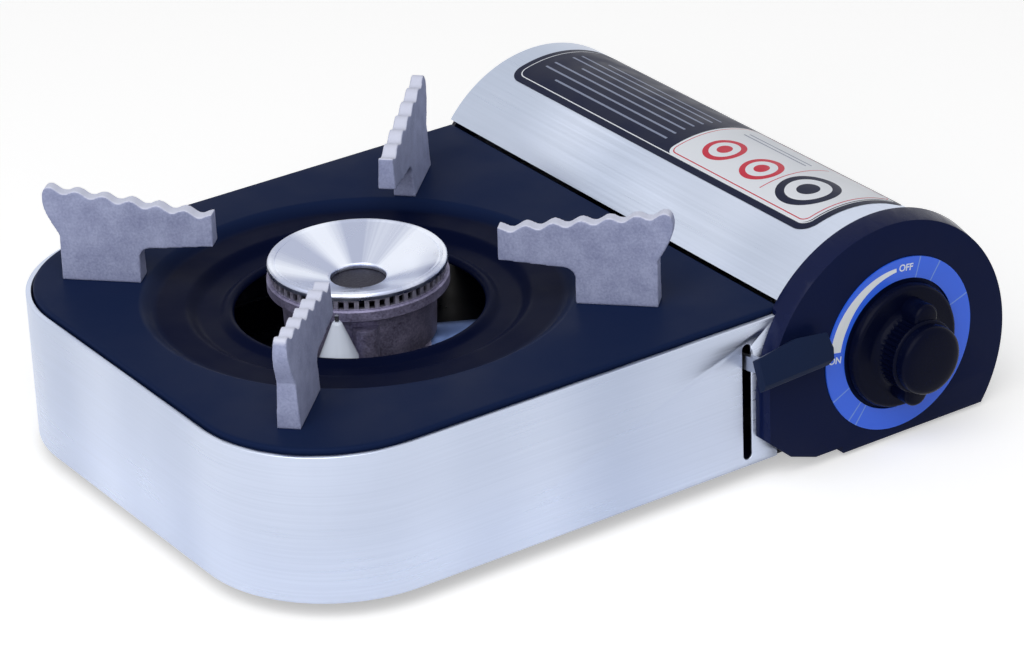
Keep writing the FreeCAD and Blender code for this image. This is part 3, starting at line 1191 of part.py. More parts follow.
def hinge_leaf(name, spans, low, high):
    """Knuckles round the pin, each with a strip of leaf on the outside of the sheet."""
    parts = []
    for number, (front, rear) in enumerate(spans):
        barrel = rod(f"{name}_barrel{number}", "y", (hinge_left, hinge_height), front, rear, hinge_radius)
        skin = tube(f"{name}_skin{number}", "y", (axis_left, axis_height), front, rear,
                    cover_radius + sheet_wall, cover_radius)
        window = box(f"{name}_window{number}", (axis_left, hinge_left), (front, rear), (low, high))
        bore = rod(f"{name}_bore{number}", "y", (hinge_left, hinge_height), front - 1, rear + 1,
                   hinge_pin_radius + run_gap)
        strip_part = common(f"{name}_strip{number}", skin, window)
        parts.append(cut(f"{name}_knuckle{number}", fuse(f"{name}_whole{number}", barrel, strip_part), bore))
    return group(name, *parts)


KNUCKLE_SHARES = (0.15, 0.45, 0.75)
lid_spans = []
body_spans = []
for share in KNUCKLE_SHARES:
    start = band_depth * share
    lid_spans.append((start, start + knuckle_length))
    body_spans.append((start - knuckle_length / 2 - seat_gap, start - seat_gap))
finish(hinge_leaf("lid_leaf", lid_spans, hinge_height + 0.5, hinge_height + leaf_height), "cover_hinge_leaf")
finish(hinge_leaf("body_leaf", body_spans, hinge_height - leaf_height, hinge_height - 0.5), "body_hinge_leaf")
finish(rod("hinge_rod", "y", (hinge_left, hinge_height), body_spans[0][0] - 1, lid_spans[-1][1] + 1,
           hinge_pin_radius), "cover_hinge_pin")
catch_front = band_depth / 2
catch_leg = box("catch_leg", (partition_right, partition_right + sheet_wall), (catch_front - 9, catch_front + 9),
                (band_height - 22, band_height))
catch_nose = rod("catch_nose", "y", (partition_right + sheet_wall + 0.6, band_height - 2), catch_front - 6,
                 catch_front + 6, 1.4)
finish(fuse("catch", catch_leg, catch_nose), "cover_catch")

# Base screws: pan heads under the floor, through to the bracket feet
finish(screws("floor_screws", base_screw_places, "z", -screw_head_height, 0, 0, sheet_wall * 4, screw_head,
              screw_shank), "base_screws")

doc.recompute()
faults = []
for item in doc.Objects:
    if "Invalid" in item.State or "Error" in item.State:
        faults.append(f"{item.Name}: {item.State}")
for piece in pieces:
    if piece.Shape.isNull() or not piece.Shape.isValid() or not piece.Shape.Solids:
        faults.append(f"{piece.Label}: bad shape")
if faults:
    raise SystemExit("faults: " + "; ".join(faults))
for piece in pieces:
    piece.Shape.exportStep(f"parts/{piece.Label}.step")
print(len(pieces), "pieces written")
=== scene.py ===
import logging
import math
from dataclasses import dataclass, field
from enum import Enum

import bmesh
import bpy
from mathutils import Matrix, Vector


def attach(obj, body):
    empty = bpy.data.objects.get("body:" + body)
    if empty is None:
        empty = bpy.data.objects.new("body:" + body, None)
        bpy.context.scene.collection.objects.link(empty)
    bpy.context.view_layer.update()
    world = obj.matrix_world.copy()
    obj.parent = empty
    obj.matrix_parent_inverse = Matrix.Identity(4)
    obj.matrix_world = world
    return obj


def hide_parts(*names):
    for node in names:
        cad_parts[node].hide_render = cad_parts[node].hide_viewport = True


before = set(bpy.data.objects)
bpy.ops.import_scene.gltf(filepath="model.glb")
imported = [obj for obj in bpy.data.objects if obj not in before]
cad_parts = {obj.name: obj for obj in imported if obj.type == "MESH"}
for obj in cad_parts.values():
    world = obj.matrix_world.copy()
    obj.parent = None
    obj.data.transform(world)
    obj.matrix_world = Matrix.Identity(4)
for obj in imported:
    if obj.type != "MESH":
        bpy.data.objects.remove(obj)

log = logging.getLogger("stove")

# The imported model's origin is under the middle of the stove. Sizes below are in millimetres in the band's own
# frame: x from its left face, y from its front face, z from its lower edge.
MIDDLE_X = 164.6
MIDDLE_Y = 100.1
GROUND = 7.0
AXIS = (269.0, 28.0)
DIAL = (273.8, 34.3)
BURNER = (107.3, 116.0)
PLATE_TOP = 62.0
Point = tuple[float, float, float]
Pair = tuple[float, float]
Source = bpy.types.Node | bpy.types.NodeSocket


class Axis(Enum):
    """The three directions of the stove: to the right, to the back and up."""

    X = "X"
    Y = "Y"
    Z = "Z"


def spot(x: float, y: float, z: float) -> Vector:
    """Turns a place in the band's frame, in millimetres, into metres in the stove's frame.

    Args:
        x: Distance to the right of the band's left face.
        y: Distance behind the band's front face.
        z: Height above the band's lower edge.

    Returns:
        The same place in metres from the stove's origin.
    """
    return Vector((x - MIDDLE_X, y - MIDDLE_Y, z + GROUND)) / 1000


def linear(code: str) -> tuple[float, float, float, float]:
    """Turns an sRGB hex colour into the linear colour that shaders use.

    Args:
        code: Six hex digits, such as "8090a0".

    Returns:
        Red, green, blue and an alpha of one.
    """
    parts = [int(code[i : i + 2], 16) / 255 for i in (0, 2, 4)]
    red, green, blue = [p / 12.92 if p <= 0.04045 else ((p + 0.055) / 1.055) ** 2.4 for p in parts]
    return red, green, blue, 1.0


def add_node(
    tree: bpy.types.NodeTree,
    kind: str,
    settings: dict[str | int, object] | None = None,
    links: dict[str | int, Source] | None = None,
) -> bpy.types.Node:
    """Adds one node with its settings and what feeds it.

    Args:
        tree: The node tree that gets the node.
        kind: The node's type name, without the ShaderNode prefix.
        settings: Values for its own properties by name, and for its inputs by name or number.
        links: What feeds its inputs, by name or number. A node feeds from its first output.

    Returns:
        The new node.
    """
    node = tree.nodes.new("ShaderNode" + kind)
    given = settings or {}
    own = [name for name in given if isinstance(name, str) and name not in node.inputs]
    for name in own:
        setattr(node, name, given[name])
    for name, value in given.items():
        if name not in own:
            node.inputs[name].default_value = value
    for name, source in (links or {}).items():
        tree.links.new(output_of(source), node.inputs[name])
    return node


def output_of(source: Source) -> bpy.types.NodeSocket:
    """Gives a node's first output, or the socket itself."""
    return source.outputs[0] if isinstance(source, bpy.types.Node) else source


def shader_of(material: bpy.types.Material) -> bpy.types.Node:
    """Finds a material's main shader."""
    return next(n for n in material.node_tree.nodes if n.type == "BSDF_PRINCIPLED")


def grain(
    tree: bpy.types.NodeTree, place: Source, size_mm: Point | float, detail: float = 3.0
) -> bpy.types.Node:
    """Draws a cloudy grain of a real size, which may be longer one way than another.

    Args:
        tree: The material's node tree.
        place: The place on the object, in metres.
        size_mm: The grain's size in millimetres, one for all ways or one for each.
        detail: How many finer layers the grain has.

    Returns:
        The grain, from nought to one.
    """
    sizes = size_mm if isinstance(size_mm, tuple) else (size_mm, size_mm, size_mm)
    scale = tuple(1000 / size for size in sizes)
    stretched = add_node(tree, "Mapping", {"Scale": scale}, {"Vector": place})
    return add_node(tree, "TexNoise", {"Scale": 1.0, "Detail": detail}, {"Vector": stretched})


def from_burner(tree: bpy.types.NodeTree, place: Source) -> bpy.types.Node:
    """Gives the level vector from the burner's axis to a place.

    Args:
        tree: The node tree.
        place: The place on the object, in metres.

    Returns:
        The vector in metres, with no height.
    """
    centre = tuple(spot(*BURNER, 0.0))
    away = add_node(tree, "VectorMath", {"operation": "SUBTRACT", 1: centre}, {0: place})
    return add_node(tree, "VectorMath", {"operation": "MULTIPLY", 1: (1.0, 1.0, 0.0)}, {0: away})


@dataclass(frozen=True)
class Finish:
    """The base of all finishes: a named surface with its colour and roughness."""

    name: str
    colour: str
    roughness: float
    metallic: float = 0.0
    coat: float = 0.0
    specular: float = 0.5

    def build(self) -> bpy.types.Material:
        """Makes the material, with the shader's plain values set and its pattern drawn.

        Returns:
            The finished material.
        """
        material = bpy.data.materials.new(self.name)
        material.use_nodes = True
        tree = material.node_tree
        shader = shader_of(material)
        shader.inputs["Base Color"].default_value = linear(self.colour)
        shader.inputs["Roughness"].default_value = self.roughness
        shader.inputs["Metallic"].default_value = self.metallic
        shader.inputs["Coat Weight"].default_value = self.coat
        shader.inputs["Coat Roughness"].default_value = 0.12
        shader.inputs["Specular IOR Level"].default_value = self.specular
        self.draw(tree, shader, add_node(tree, "TexCoord").outputs["Object"])
        return material

    def draw(self, tree: bpy.types.NodeTree, shader: bpy.types.Node, place: Source) -> None:
        """Draws the surface's pattern. The plain base has none.

        Args:
            tree: The material's node tree.
            shader: Its main shader.
            place: The place on the object, in metres.
        """

    def vary_gloss(
        self,
        tree: bpy.types.NodeTree,
        shader: bpy.types.Node,
        pattern: Source,
        gloss: Pair,
        ends: Pair = (0.35, 0.65),
    ) -> None:
        """Makes the surface smoother and rougher than its own roughness by a pattern.

        Args:
            tree: The material's node tree.
            shader: Its main shader.
            pattern: The pattern.
            gloss: The change of roughness at the pattern's low and high end.
            ends: The low and high end of the pattern.
        """
        span = {"From Min": ends[0], "From Max": ends[1]}
        span |= {"To Min": self.roughness + gloss[0], "To Max": self.roughness + gloss[1]}
        varied = add_node(tree, "MapRange", span, {"Value": pattern})
        tree.links.new(varied.outputs[0], shader.inputs["Roughness"])

    def emboss(
        self, tree: bpy.types.NodeTree, shader: bpy.types.Node, pattern: Source, depth_mm: float, share: float
    ) -> None:
        """Raises the skin by a pattern.

        Args:
            tree: The material's node tree.
            shader: Its main shader.
            pattern: The height, from nought to one.
            depth_mm: How deep the pattern is, in millimetres.
            share: How strongly it shows.
        """
        raised = add_node(tree, "Bump", {"Distance": depth_mm / 1000, "Strength": share}, {"Height": pattern})
        tree.links.new(raised.outputs[0], shader.inputs["Normal"])

    def tint(
        self, tree: bpy.types.NodeTree, shader: bpy.types.Node, pattern: Source, first: str, second: str
    ) -> None:
        """Colours the surface between two colours by a pattern.

        Args:
            tree: The material's node tree.
            shader: Its main shader.
            pattern: The pattern, from nought to one.
            first: The colour where it is nought.
            second: The colour where it is one.
        """
        mix = add_node(tree, "Mix", {"data_type": "RGBA", 6: linear(first), 7: linear(second)}, {0: pattern})
        tree.links.new(mix.outputs[2], shader.inputs["Base Color"])

    def cover(self, tree: bpy.types.NodeTree, shader: bpy.types.Node, share: Source, colour: str) -> None:
        """Lays a colour over the one that the surface already has.

        Args:
            tree: The material's node tree.
            shader: Its main shader, whose colour is already drawn.
            share: How much of the new colour shows, from nought to one.
            colour: The new colour.
        """
        skin = shader.inputs["Base Color"].links[0].from_socket
        mix = add_node(tree, "Mix", {"data_type": "RGBA", 7: linear(colour)}, {0: share, 6: skin})
        tree.links.new(mix.outputs[2], shader.inputs["Base Color"])


@dataclass(frozen=True)
class BrushedSteel(Finish):
    """Stainless sheet brushed along one direction, which stretches its highlights across the brush lines."""

    along: Axis = Axis.X
    dark: str = "b2bcd2"
    line_mm: float = 0.9
    line_length_mm: float = 90.0
    reflection_zone_mm: Point = (80.0, 80.0, 900.0)
    anisotropy: float = 0.55
    metallic: float = 1.0

    def draw(self, tree: bpy.types.NodeTree, shader: bpy.types.Node, place: Source) -> None:
        """Draws brush lines in the roughness, in the colour and as faint grooves, and paints soft light and
        dark zones into the colour as painted reflection. Real lines are about 0.1 mm apart, too fine to show,
        so they are drawn nearly a millimetre apart."""
        sizes = {
            Axis.X: (self.line_length_mm, self.line_length_mm, self.line_mm),
            Axis.Y: (self.line_mm, self.line_length_mm, self.line_mm),
            Axis.Z: (self.line_mm, self.line_mm, self.line_length_mm),
        }
        lines = grain(tree, place, sizes[self.along], 4.0)
        cloud = grain(tree, place, 34.0, 2.0)
        wear_and_top_light = add_node(tree, "Mix", {0: 0.4}, {2: lines, 3: cloud})
        self.vary_gloss(tree, shader, wear_and_top_light, (-0.1, 0.13), (0.34, 0.66))
        # Painted reflection: broad soft zones make the colour lighter and darker, as uneven surroundings would
        # reflect.
        reflection_zones = grain(tree, place, self.reflection_zone_mm, 1.0)
        blend = add_node(tree, "Mix", {0: 0.78}, {2: lines, 3: reflection_zones})
        tone = add_node(tree, "MapRange", {"From Min": 0.34, "From Max": 0.66}, {"Value": blend})
        self.tint(tree, shader, tone, self.dark, self.colour)
        self.emboss(tree, shader, lines, 0.015, 0.4)
        shader.inputs["Anisotropic"].default_value = self.anisotropy


@dataclass(frozen=True)
class SpunSteel(Finish):
    """Polished steel turned on a lathe, whose fine rings stretch its highlights into radial streaks."""

    dark: str = "b2b9d0"
    anisotropy: float = 0.6
    metallic: float = 1.0

    def draw(self, tree: bpy.types.NodeTree, shader: bpy.types.Node, place: Source) -> None:
        """Draws the lathe's rings by a tangent round the upright axis, and paints into the colour the fans of
        light and shade that such rings reflect, which run out from the middle."""
        ray = add_node(tree, "VectorMath", {"operation": "NORMALIZE"}, {0: from_burner(tree, place)})
        broad = grain(tree, ray, 620.0, 0.0)
        narrow = grain(tree, ray, 45.0, 1.0)
        # Painted reflection: the fans of light and shade are drawn in the colour.
        reflected_fans = add_node(tree, "Mix", {0: 0.12}, {2: broad, 3: narrow})
        tone = add_node(tree, "MapRange", {"From Min": 0.36, "From Max": 0.6}, {"Value": reflected_fans})
        self.tint(tree, shader, tone, self.dark, self.colour)
        tangent = add_node(tree, "Tangent", {"direction_type": "RADIAL", "axis": "Z"})
        tree.links.new(tangent.outputs[0], shader.inputs["Tangent"])
        shader.inputs["Anisotropic"].default_value = self.anisotropy
        self.vary_gloss(tree, shader, grain(tree, place, 9.0), (-0.04, 0.06))
        self.emboss(tree, shader, grain(tree, place, 1.2), 0.004, 0.2)


@dataclass(frozen=True)
class CastMetal(Finish):
    """Sand or die cast metal, blasted: a grainy matt skin with small pits and cloudy colour."""

    dark: str = "5c5660"
    wear_and_top_light: str = ""
    grain_mm: float = 0.9
    cloud_mm: float = 7.0
    depth_mm: float = 0.16
    metallic: float = 0.75

    def draw(self, tree: bpy.types.NodeTree, shader: bpy.types.Node, place: Source) -> None:
        """Draws grit-sized grain and a cloudy tone, and paints top light: faces that look up are paler, partly
        also because pans rub their crests bare.
        """
        grit = grain(tree, place, self.grain_mm, 5.0)
        cloud = grain(tree, place, self.cloud_mm, 4.0)
        both = add_node(tree, "Mix", {0: 0.5}, {2: grit, 3: cloud})
        tone = add_node(tree, "MapRange", {"From Min": 0.3, "From Max": 0.7}, {"Value": both})
        self.tint(tree, shader, tone, self.dark, self.colour)
        # Painted top light: faces that look up get a paler colour, partly also for the crests that pans rub
        # bare.
        if self.wear_and_top_light:
            facing = add_node(tree, "NewGeometry").outputs["Normal"]
            upward = add_node(tree, "SeparateXYZ", {}, {0: facing}).outputs["Z"]
            rubbed_and_lit_tops = add_node(tree, "MapRange", {"From Min": 0.35, "From Max": 0.8}, {"Value": upward})
            self.cover(tree, shader, rubbed_and_lit_tops, self.wear_and_top_light)
        self.vary_gloss(tree, shader, grit, (-0.08, 0.12), (0.3, 0.7))
        self.emboss(tree, shader, grit, self.depth_mm, 0.9)


@dataclass(frozen=True)
class RecessShadedCast(CastMetal):
    """Cast or sintered metal near the flame, with painted shade that darkens it close to the burner's axis,
    where the hub and the flame slots lie in hollows.
    """

    recess_shade: str = "1c1b2c"
    reach: Pair = (0.0, 0.0)

    def draw(self, tree: bpy.types.NodeTree, shader: bpy.types.Node, place: Source) -> None:
        """Draws the cast skin and lays painted shade over it, which fades out over the reach."""
        super().draw(tree, shader, place)
        away = add_node(tree, "VectorMath", {"operation": "LENGTH"}, {0: from_burner(tree, place)})
        fading = {"From Min": self.reach[0], "From Max": self.reach[1], "To Min": 1.0, "To Max": 0.0}
        share = add_node(tree, "MapRange", fading, {"Value": away.outputs["Value"]})
        # Painted shade: a dark colour covers the metal near the axis, where the hub and the slots lie in shade.
        self.cover(tree, shader, share, self.recess_shade)


@dataclass(frozen=True)
class Enamel(Finish):
    """Baked enamel on sheet steel: a smooth dark coat with a faint orange-peel waviness."""

    grain_mm: float = 2.2
    dust_mm: float = 22.0
    depth_mm: float = 0.02

    def draw(self, tree: bpy.types.NodeTree, shader: bpy.types.Node, place: Source) -> None:
        """Draws the orange peel and dusty patches of duller gloss."""
        self.vary_gloss(tree, shader, grain(tree, place, self.dust_mm, 5.0), (-0.05, 0.08))
        self.emboss(tree, shader, grain(tree, place, self.grain_mm), self.depth_mm, 0.5)


@dataclass(frozen=True)
class DishShadedEnamel(Enamel):
    """The top plate's enamel, with painted shade that makes it darker inside the dish."""

    dish_shade: str = "050c28"
    reach: Pair = (0.0775, 0.0835)

    def draw(self, tree: bpy.types.NodeTree, shader: bpy.types.Node, place: Source) -> None:
        """Draws the enamel and paints shade into its colour inside the dish, by the distance from the burner.
        """
        super().draw(tree, shader, place)
        away = add_node(tree, "VectorMath", {"operation": "LENGTH"}, {0: from_burner(tree, place)})
        span = {"From Min": self.reach[0], "From Max": self.reach[1]}
        share = add_node(tree, "MapRange", span, {"Value": away.outputs["Value"]})
        # Painted shade: the colour inside the dish is darker than the plate's own.
        self.tint(tree, shader, share, self.dish_shade, self.colour)


@dataclass(frozen=True)
class Moulded(Finish):
    """Injection-moulded plastic or rubber, with the fine spark texture of its mould."""

    grain_mm: float = 0.6
    wear_mm: float = 12.0
    depth_mm: float = 0.03

    def draw(self, tree: bpy.types.NodeTree, shader: bpy.types.Node, place: Source) -> None:
        """Draws the mould's texture and a slight change of gloss from handling."""
        self.vary_gloss(tree, shader, grain(tree, place, self.wear_mm, 4.0), (-0.06, 0.08))
        self.emboss(tree, shader, grain(tree, place, self.grain_mm, 2.0), self.depth_mm, 0.5)


@dataclass(frozen=True)
class PlatedSteel(Finish):
    """Zinc-plated or drawn steel: a bright skin with a faint crystal pattern of the plating."""

    crystal_mm: float = 4.0
    metallic: float = 1.0

    def draw(self, tree: bpy.types.NodeTree, shader: bpy.types.Node, place: Source) -> None:
        """Draws the plating's crystals in the gloss and a slight unevenness. Real crystals are finer and
        wouldn't show."""
        crystals = add_node(tree, "TexVoronoi", {"Scale": 1000 / self.crystal_mm}, {"Vector": place})
        self.vary_gloss(tree, shader, crystals, (-0.08, 0.12), (0.0, 1.0))
        self.emboss(tree, shader, grain(tree, place, 1.4), 0.01, 0.4)


@dataclass(frozen=True)
class DialPrint(Finish):
    """Screen-printed film under a clear coat: a blue ring with a pale band that widens towards full flame."""

    band: str = "e9eef4"
    line: str = "6f97ee"
    band_radius: float = 0.0316
    band_halves: Pair = (0.0008, 0.0025)
    band_degrees: Pair = (92.5, 170.0)
    widest_degrees: float = 150.0
    line_degrees: tuple[float, ...] = (72.8, 55.4, 19.0, -127.0, -134.0, -154.7)

    def draw(self, tree: bpy.types.NodeTree, shader: bpy.types.Node, place: Source) -> None:
        """Draws the tapering band, which runs against the clock from the top to nine o'clock, and thin radial
        lines round the dial's middle."""
        middle = tuple(spot(DIAL[0], 0.0, DIAL[1]))
        around = add_node(tree, "VectorMath", {"operation": "SUBTRACT", 1: middle}, {0: place})
        level = add_node(tree, "VectorMath", {"operation": "MULTIPLY", 1: (1.0, 0.0, 1.0)}, {0: around})
        radius = add_node(tree, "VectorMath", {"operation": "LENGTH"}, {0: level}).outputs["Value"]
        parts = add_node(tree, "SeparateXYZ", {}, {0: around}).outputs
        angle = add_node(tree, "Math", {"operation": "ARCTAN2"}, {0: parts["Z"], 1: parts["X"]})
        start, end = (math.radians(v) for v in self.band_degrees)
        taper = {"From Min": start, "From Max": math.radians(self.widest_degrees)}
        taper |= {"To Min": self.band_halves[0], "To Max": self.band_halves[1]}
        half = add_node(tree, "MapRange", taper, {"Value": angle})
        ring = add_node(tree, "Math", {"operation": "COMPARE", 1: self.band_radius}, {0: radius, 2: half})
        turned = {"operation": "COMPARE", 1: (start + end) / 2, 2: (end - start) / 2}
        arc = add_node(tree, "Math", turned, {0: angle})
        mask = add_node(tree, "Math", {"operation": "MULTIPLY"}, {0: ring, 1: arc})
        self.tint(tree, shader, mask, self.colour, self.band)
        for degrees in self.line_degrees:
            near = {"operation": "COMPARE", 1: math.radians(degrees), 2: 0.009}
            self.cover(tree, shader, add_node(tree, "Math", near, {0: angle}), self.line)
        self.emboss(tree, shader, grain(tree, place, 0.8), 0.01, 0.3)


@dataclass
class Finishes:
    """All the stove's finishes, each built once."""

    made: dict[str, bpy.types.Material] = field(default_factory=dict)

    def get(self, finish: Finish) -> bpy.types.Material:
        """Gives a finish's material, built when it is first asked for.

        Args:
            finish: The finish wanted.

        Returns:
            Its material.
        """
        if finish.name not in self.made:
            self.made[finish.name] = finish.build()
        return self.made[finish.name]


# Brushed stainless sheet: pale, with long soft highlights across its brush lines and painted reflection zones
# in its colour
BAND_STEEL = BrushedSteel("brushed_stainless_band", "d2daec", 0.34, along=Axis.X)
LID_STEEL = BrushedSteel("brushed_stainless_lid", "cfd7e8", 0.36, along=Axis.Y, dark="b2bccf")
# Baked enamel over pressed steel: near black, satin, a little blue, with painted shade inside the dish
PLATE_ENAMEL = DishShadedEnamel("black_satin_enamel", "162344", 0.42, specular=0.02)
# Powder coat on the hidden folded sheets
PAN_COAT = Enamel("black_powder_coat", "090e26", 0.28, grain_mm=0.8, depth_mm=0.03, specular=0.3)
# Blasted castings: violet grey, matt and grainy, with a paler colour on faces that look up as painted top light
SUPPORT_CAST = CastMetal(
    "blasted_cast_supports", "a8afd0", 0.6, dark="7f86aa", wear_and_top_light="d8dcf0", metallic=0.05, depth_mm=0.12
)
# The burner's cast cup: violet grey, with painted shade on the hub in the hollow under the cap's hole
BURNER_CAST = RecessShadedCast(
    "blasted_cast_burner", "9c98b8", 0.5, dark="524e68", metallic=0.6, reach=(0.0125, 0.0145)
)
# Die-cast zinc: an even pale grey with a fine skin
REGULATOR_CAST = CastMetal("die_cast_regulator", "a6a8ac", 0.45, dark="74767a", depth_mm=0.06)
# Sintered steel: pale teeth, with painted shade deep in the flame slots between them
CROWN_METAL = RecessShadedCast(
    "sintered_grey_crown", "bab8ca", 0.42, dark="86839a", depth_mm=0.05, reach=(0.0318, 0.0334)
)
# Spun and polished stainless: mirror bright, with radial streaks of painted reflection in its colour
CAP_STEEL = SpunSteel("spun_polished_stainless", "e9eefa", 0.3)
# Bright zinc plating on small folded sheets and screws
ZINC = PlatedSteel("zinc_plated_steel", "a9aebb", 0.34)
# Zinc on the inner sheets, darkened as painted shade, which keeps the lever's slot and the bay dark
INNER_ZINC = PlatedSteel("shade_darkened_zinc_sheet", "2a3044", 0.5)
# Zinc darkened to a cold blue grey as painted shade, for the tube that is seen in shade through the dish's
# opening
TUBE_ZINC = PlatedSteel("shade_darkened_zinc_tube", "4f6088", 0.45)
# Drawn spring wire: grey with a drawn sheen
SPRING = PlatedSteel("drawn_spring_steel", "8e9096", 0.3)
# Turned brass: warm and bright
BRASS = PlatedSteel("turned_brass", "c9a35a", 0.25)
# Moulded ABS: black, with a satin skin from the mould
PANEL_ABS = Moulded("black_moulded_abs", "111a3c", 0.34, specular=0.04)
# The same moulding where its mould was polished: the sloping rim, which shines
RIM_ABS = Moulded("polished_moulded_rim", "111a40", 0.24, specular=0.1, depth_mm=0.005)
# The knob's ABS, a shade blacker and glossier where fingers polish it
KNOB_ABS = Moulded("black_moulded_knob", "050920", 0.24, specular=0.05)
# The lever's grip: slate ABS with a duller skin
GRIP_ABS = Moulded("slate_moulded_grip", "16223e", 0.38, specular=0.06)
# Moulded nylon: milky and half matt
NYLON = Moulded("white_moulded_nylon", "e4e4de", 0.45)
# Moulded rubber: black and matt
RUBBER = Moulded("black_moulded_rubber", "0e0e10", 0.8)
# Silicone sleeve: black with a soft sheen
SILICONE = Moulded("black_silicone_sleeve", "101218", 0.55)
# Glazed ceramic: white and glossy
CERAMIC = Moulded("glazed_white_ceramic", "e4edff", 0.2, depth_mm=0.01)
# Screen-printed inks on the dial and on the lid's film: flat and even
DIAL_INK = Moulded("white_dial_ink", "dfe8f6", 0.4)
FILM_NAVY = Moulded("navy_printed_film", "131a36", 0.4, specular=0.1)
FILM_WHITE = Moulded("white_printed_film", "eef2fa", 0.4, specular=0.2)
FILM_GREY = Moulded("grey_printed_film", "8a93ad", 0.4, specular=0.2)
FILM_RED = Moulded("red_printed_film", "d03048", 0.4, specular=0.2)
# The dial's film: clear-coated blue print
DIAL_FILM = DialPrint("blue_printed_dial_film", "2e68f2", 0.3, coat=0.2, specular=0.3)

FINISH_OF = {
    "outer_band": BAND_STEEL,
    "cartridge_cover": LID_STEEL,
    "base_pan": PAN_COAT,
    "bay_trough": PAN_COAT,
    "bay_partition": INNER_ZINC,
    "bay_bulkhead": INNER_ZINC,
    "rear_end_plate": PAN_COAT,
    "cartridge_cradle": INNER_ZINC,
    "rubber_feet": RUBBER,
    "plate_rest_tabs": ZINC,
    "top_plate": PLATE_ENAMEL,
    "pan_support_front": SUPPORT_CAST,
    "pan_support_left": SUPPORT_CAST,
    "pan_support_back": SUPPORT_CAST,
    "pan_support_right": SUPPORT_CAST,
    "support_screws": ZINC,
    "burner_body": BURNER_CAST,
    "burner_crown": CROWN_METAL,
    "burner_cap": CAP_STEEL,
    "mixing_tube": TUBE_ZINC,
    "burner_bracket": ZINC,
    "burner_screws": ZINC,
    "electrode_insulator": CERAMIC,
    "electrode_pin": SPRING,
    "electrode_bracket": ZINC,
    "front_panel": PANEL_ABS,
    "panel_screws": ZINC,
    "dial_plate": DIAL_FILM,
    "control_knob": KNOB_ABS,
    "valve_stem": BRASS,
    "igniter_cam": NYLON,
    "piezo_igniter": NYLON,
    "piezo_plunger": NYLON,
    "regulator_body": REGULATOR_CAST,
    "regulator_diaphragm": RUBBER,
    "regulator_cover": ZINC,
    "regulator_spring": SPRING,
    "regulator_screws": ZINC,
    "jet_nozzle": BRASS,
    "cartridge_guide_ring": ZINC,
    "inlet_seal": RUBBER,
    "ignition_lead": SILICONE,
    "lead_grommet": RUBBER,
    "lever_arm": ZINC,
    "lever_grip": GRIP_ABS,
    "lever_pivot_pin": ZINC,
    "lever_bracket": INNER_ZINC,
    "lever_spring": SPRING,
    "cartridge_pusher": ZINC,
    "pusher_guides": NYLON,
    "cover_hinge_leaf": LID_STEEL,
    "body_hinge_leaf": LID_STEEL,
    "cover_hinge_pin": ZINC,
    "cover_catch": SPRING,
    "base_screws": ZINC,
}


def dress_nodes(finishes: Finishes) -> None:
    """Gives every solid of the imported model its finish.

    Args:
        finishes: The finishes built so far.
    """
    for name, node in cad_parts.items():
        node.data.materials.clear()
        node.data.materials.append(finishes.get(FINISH_OF[name]))


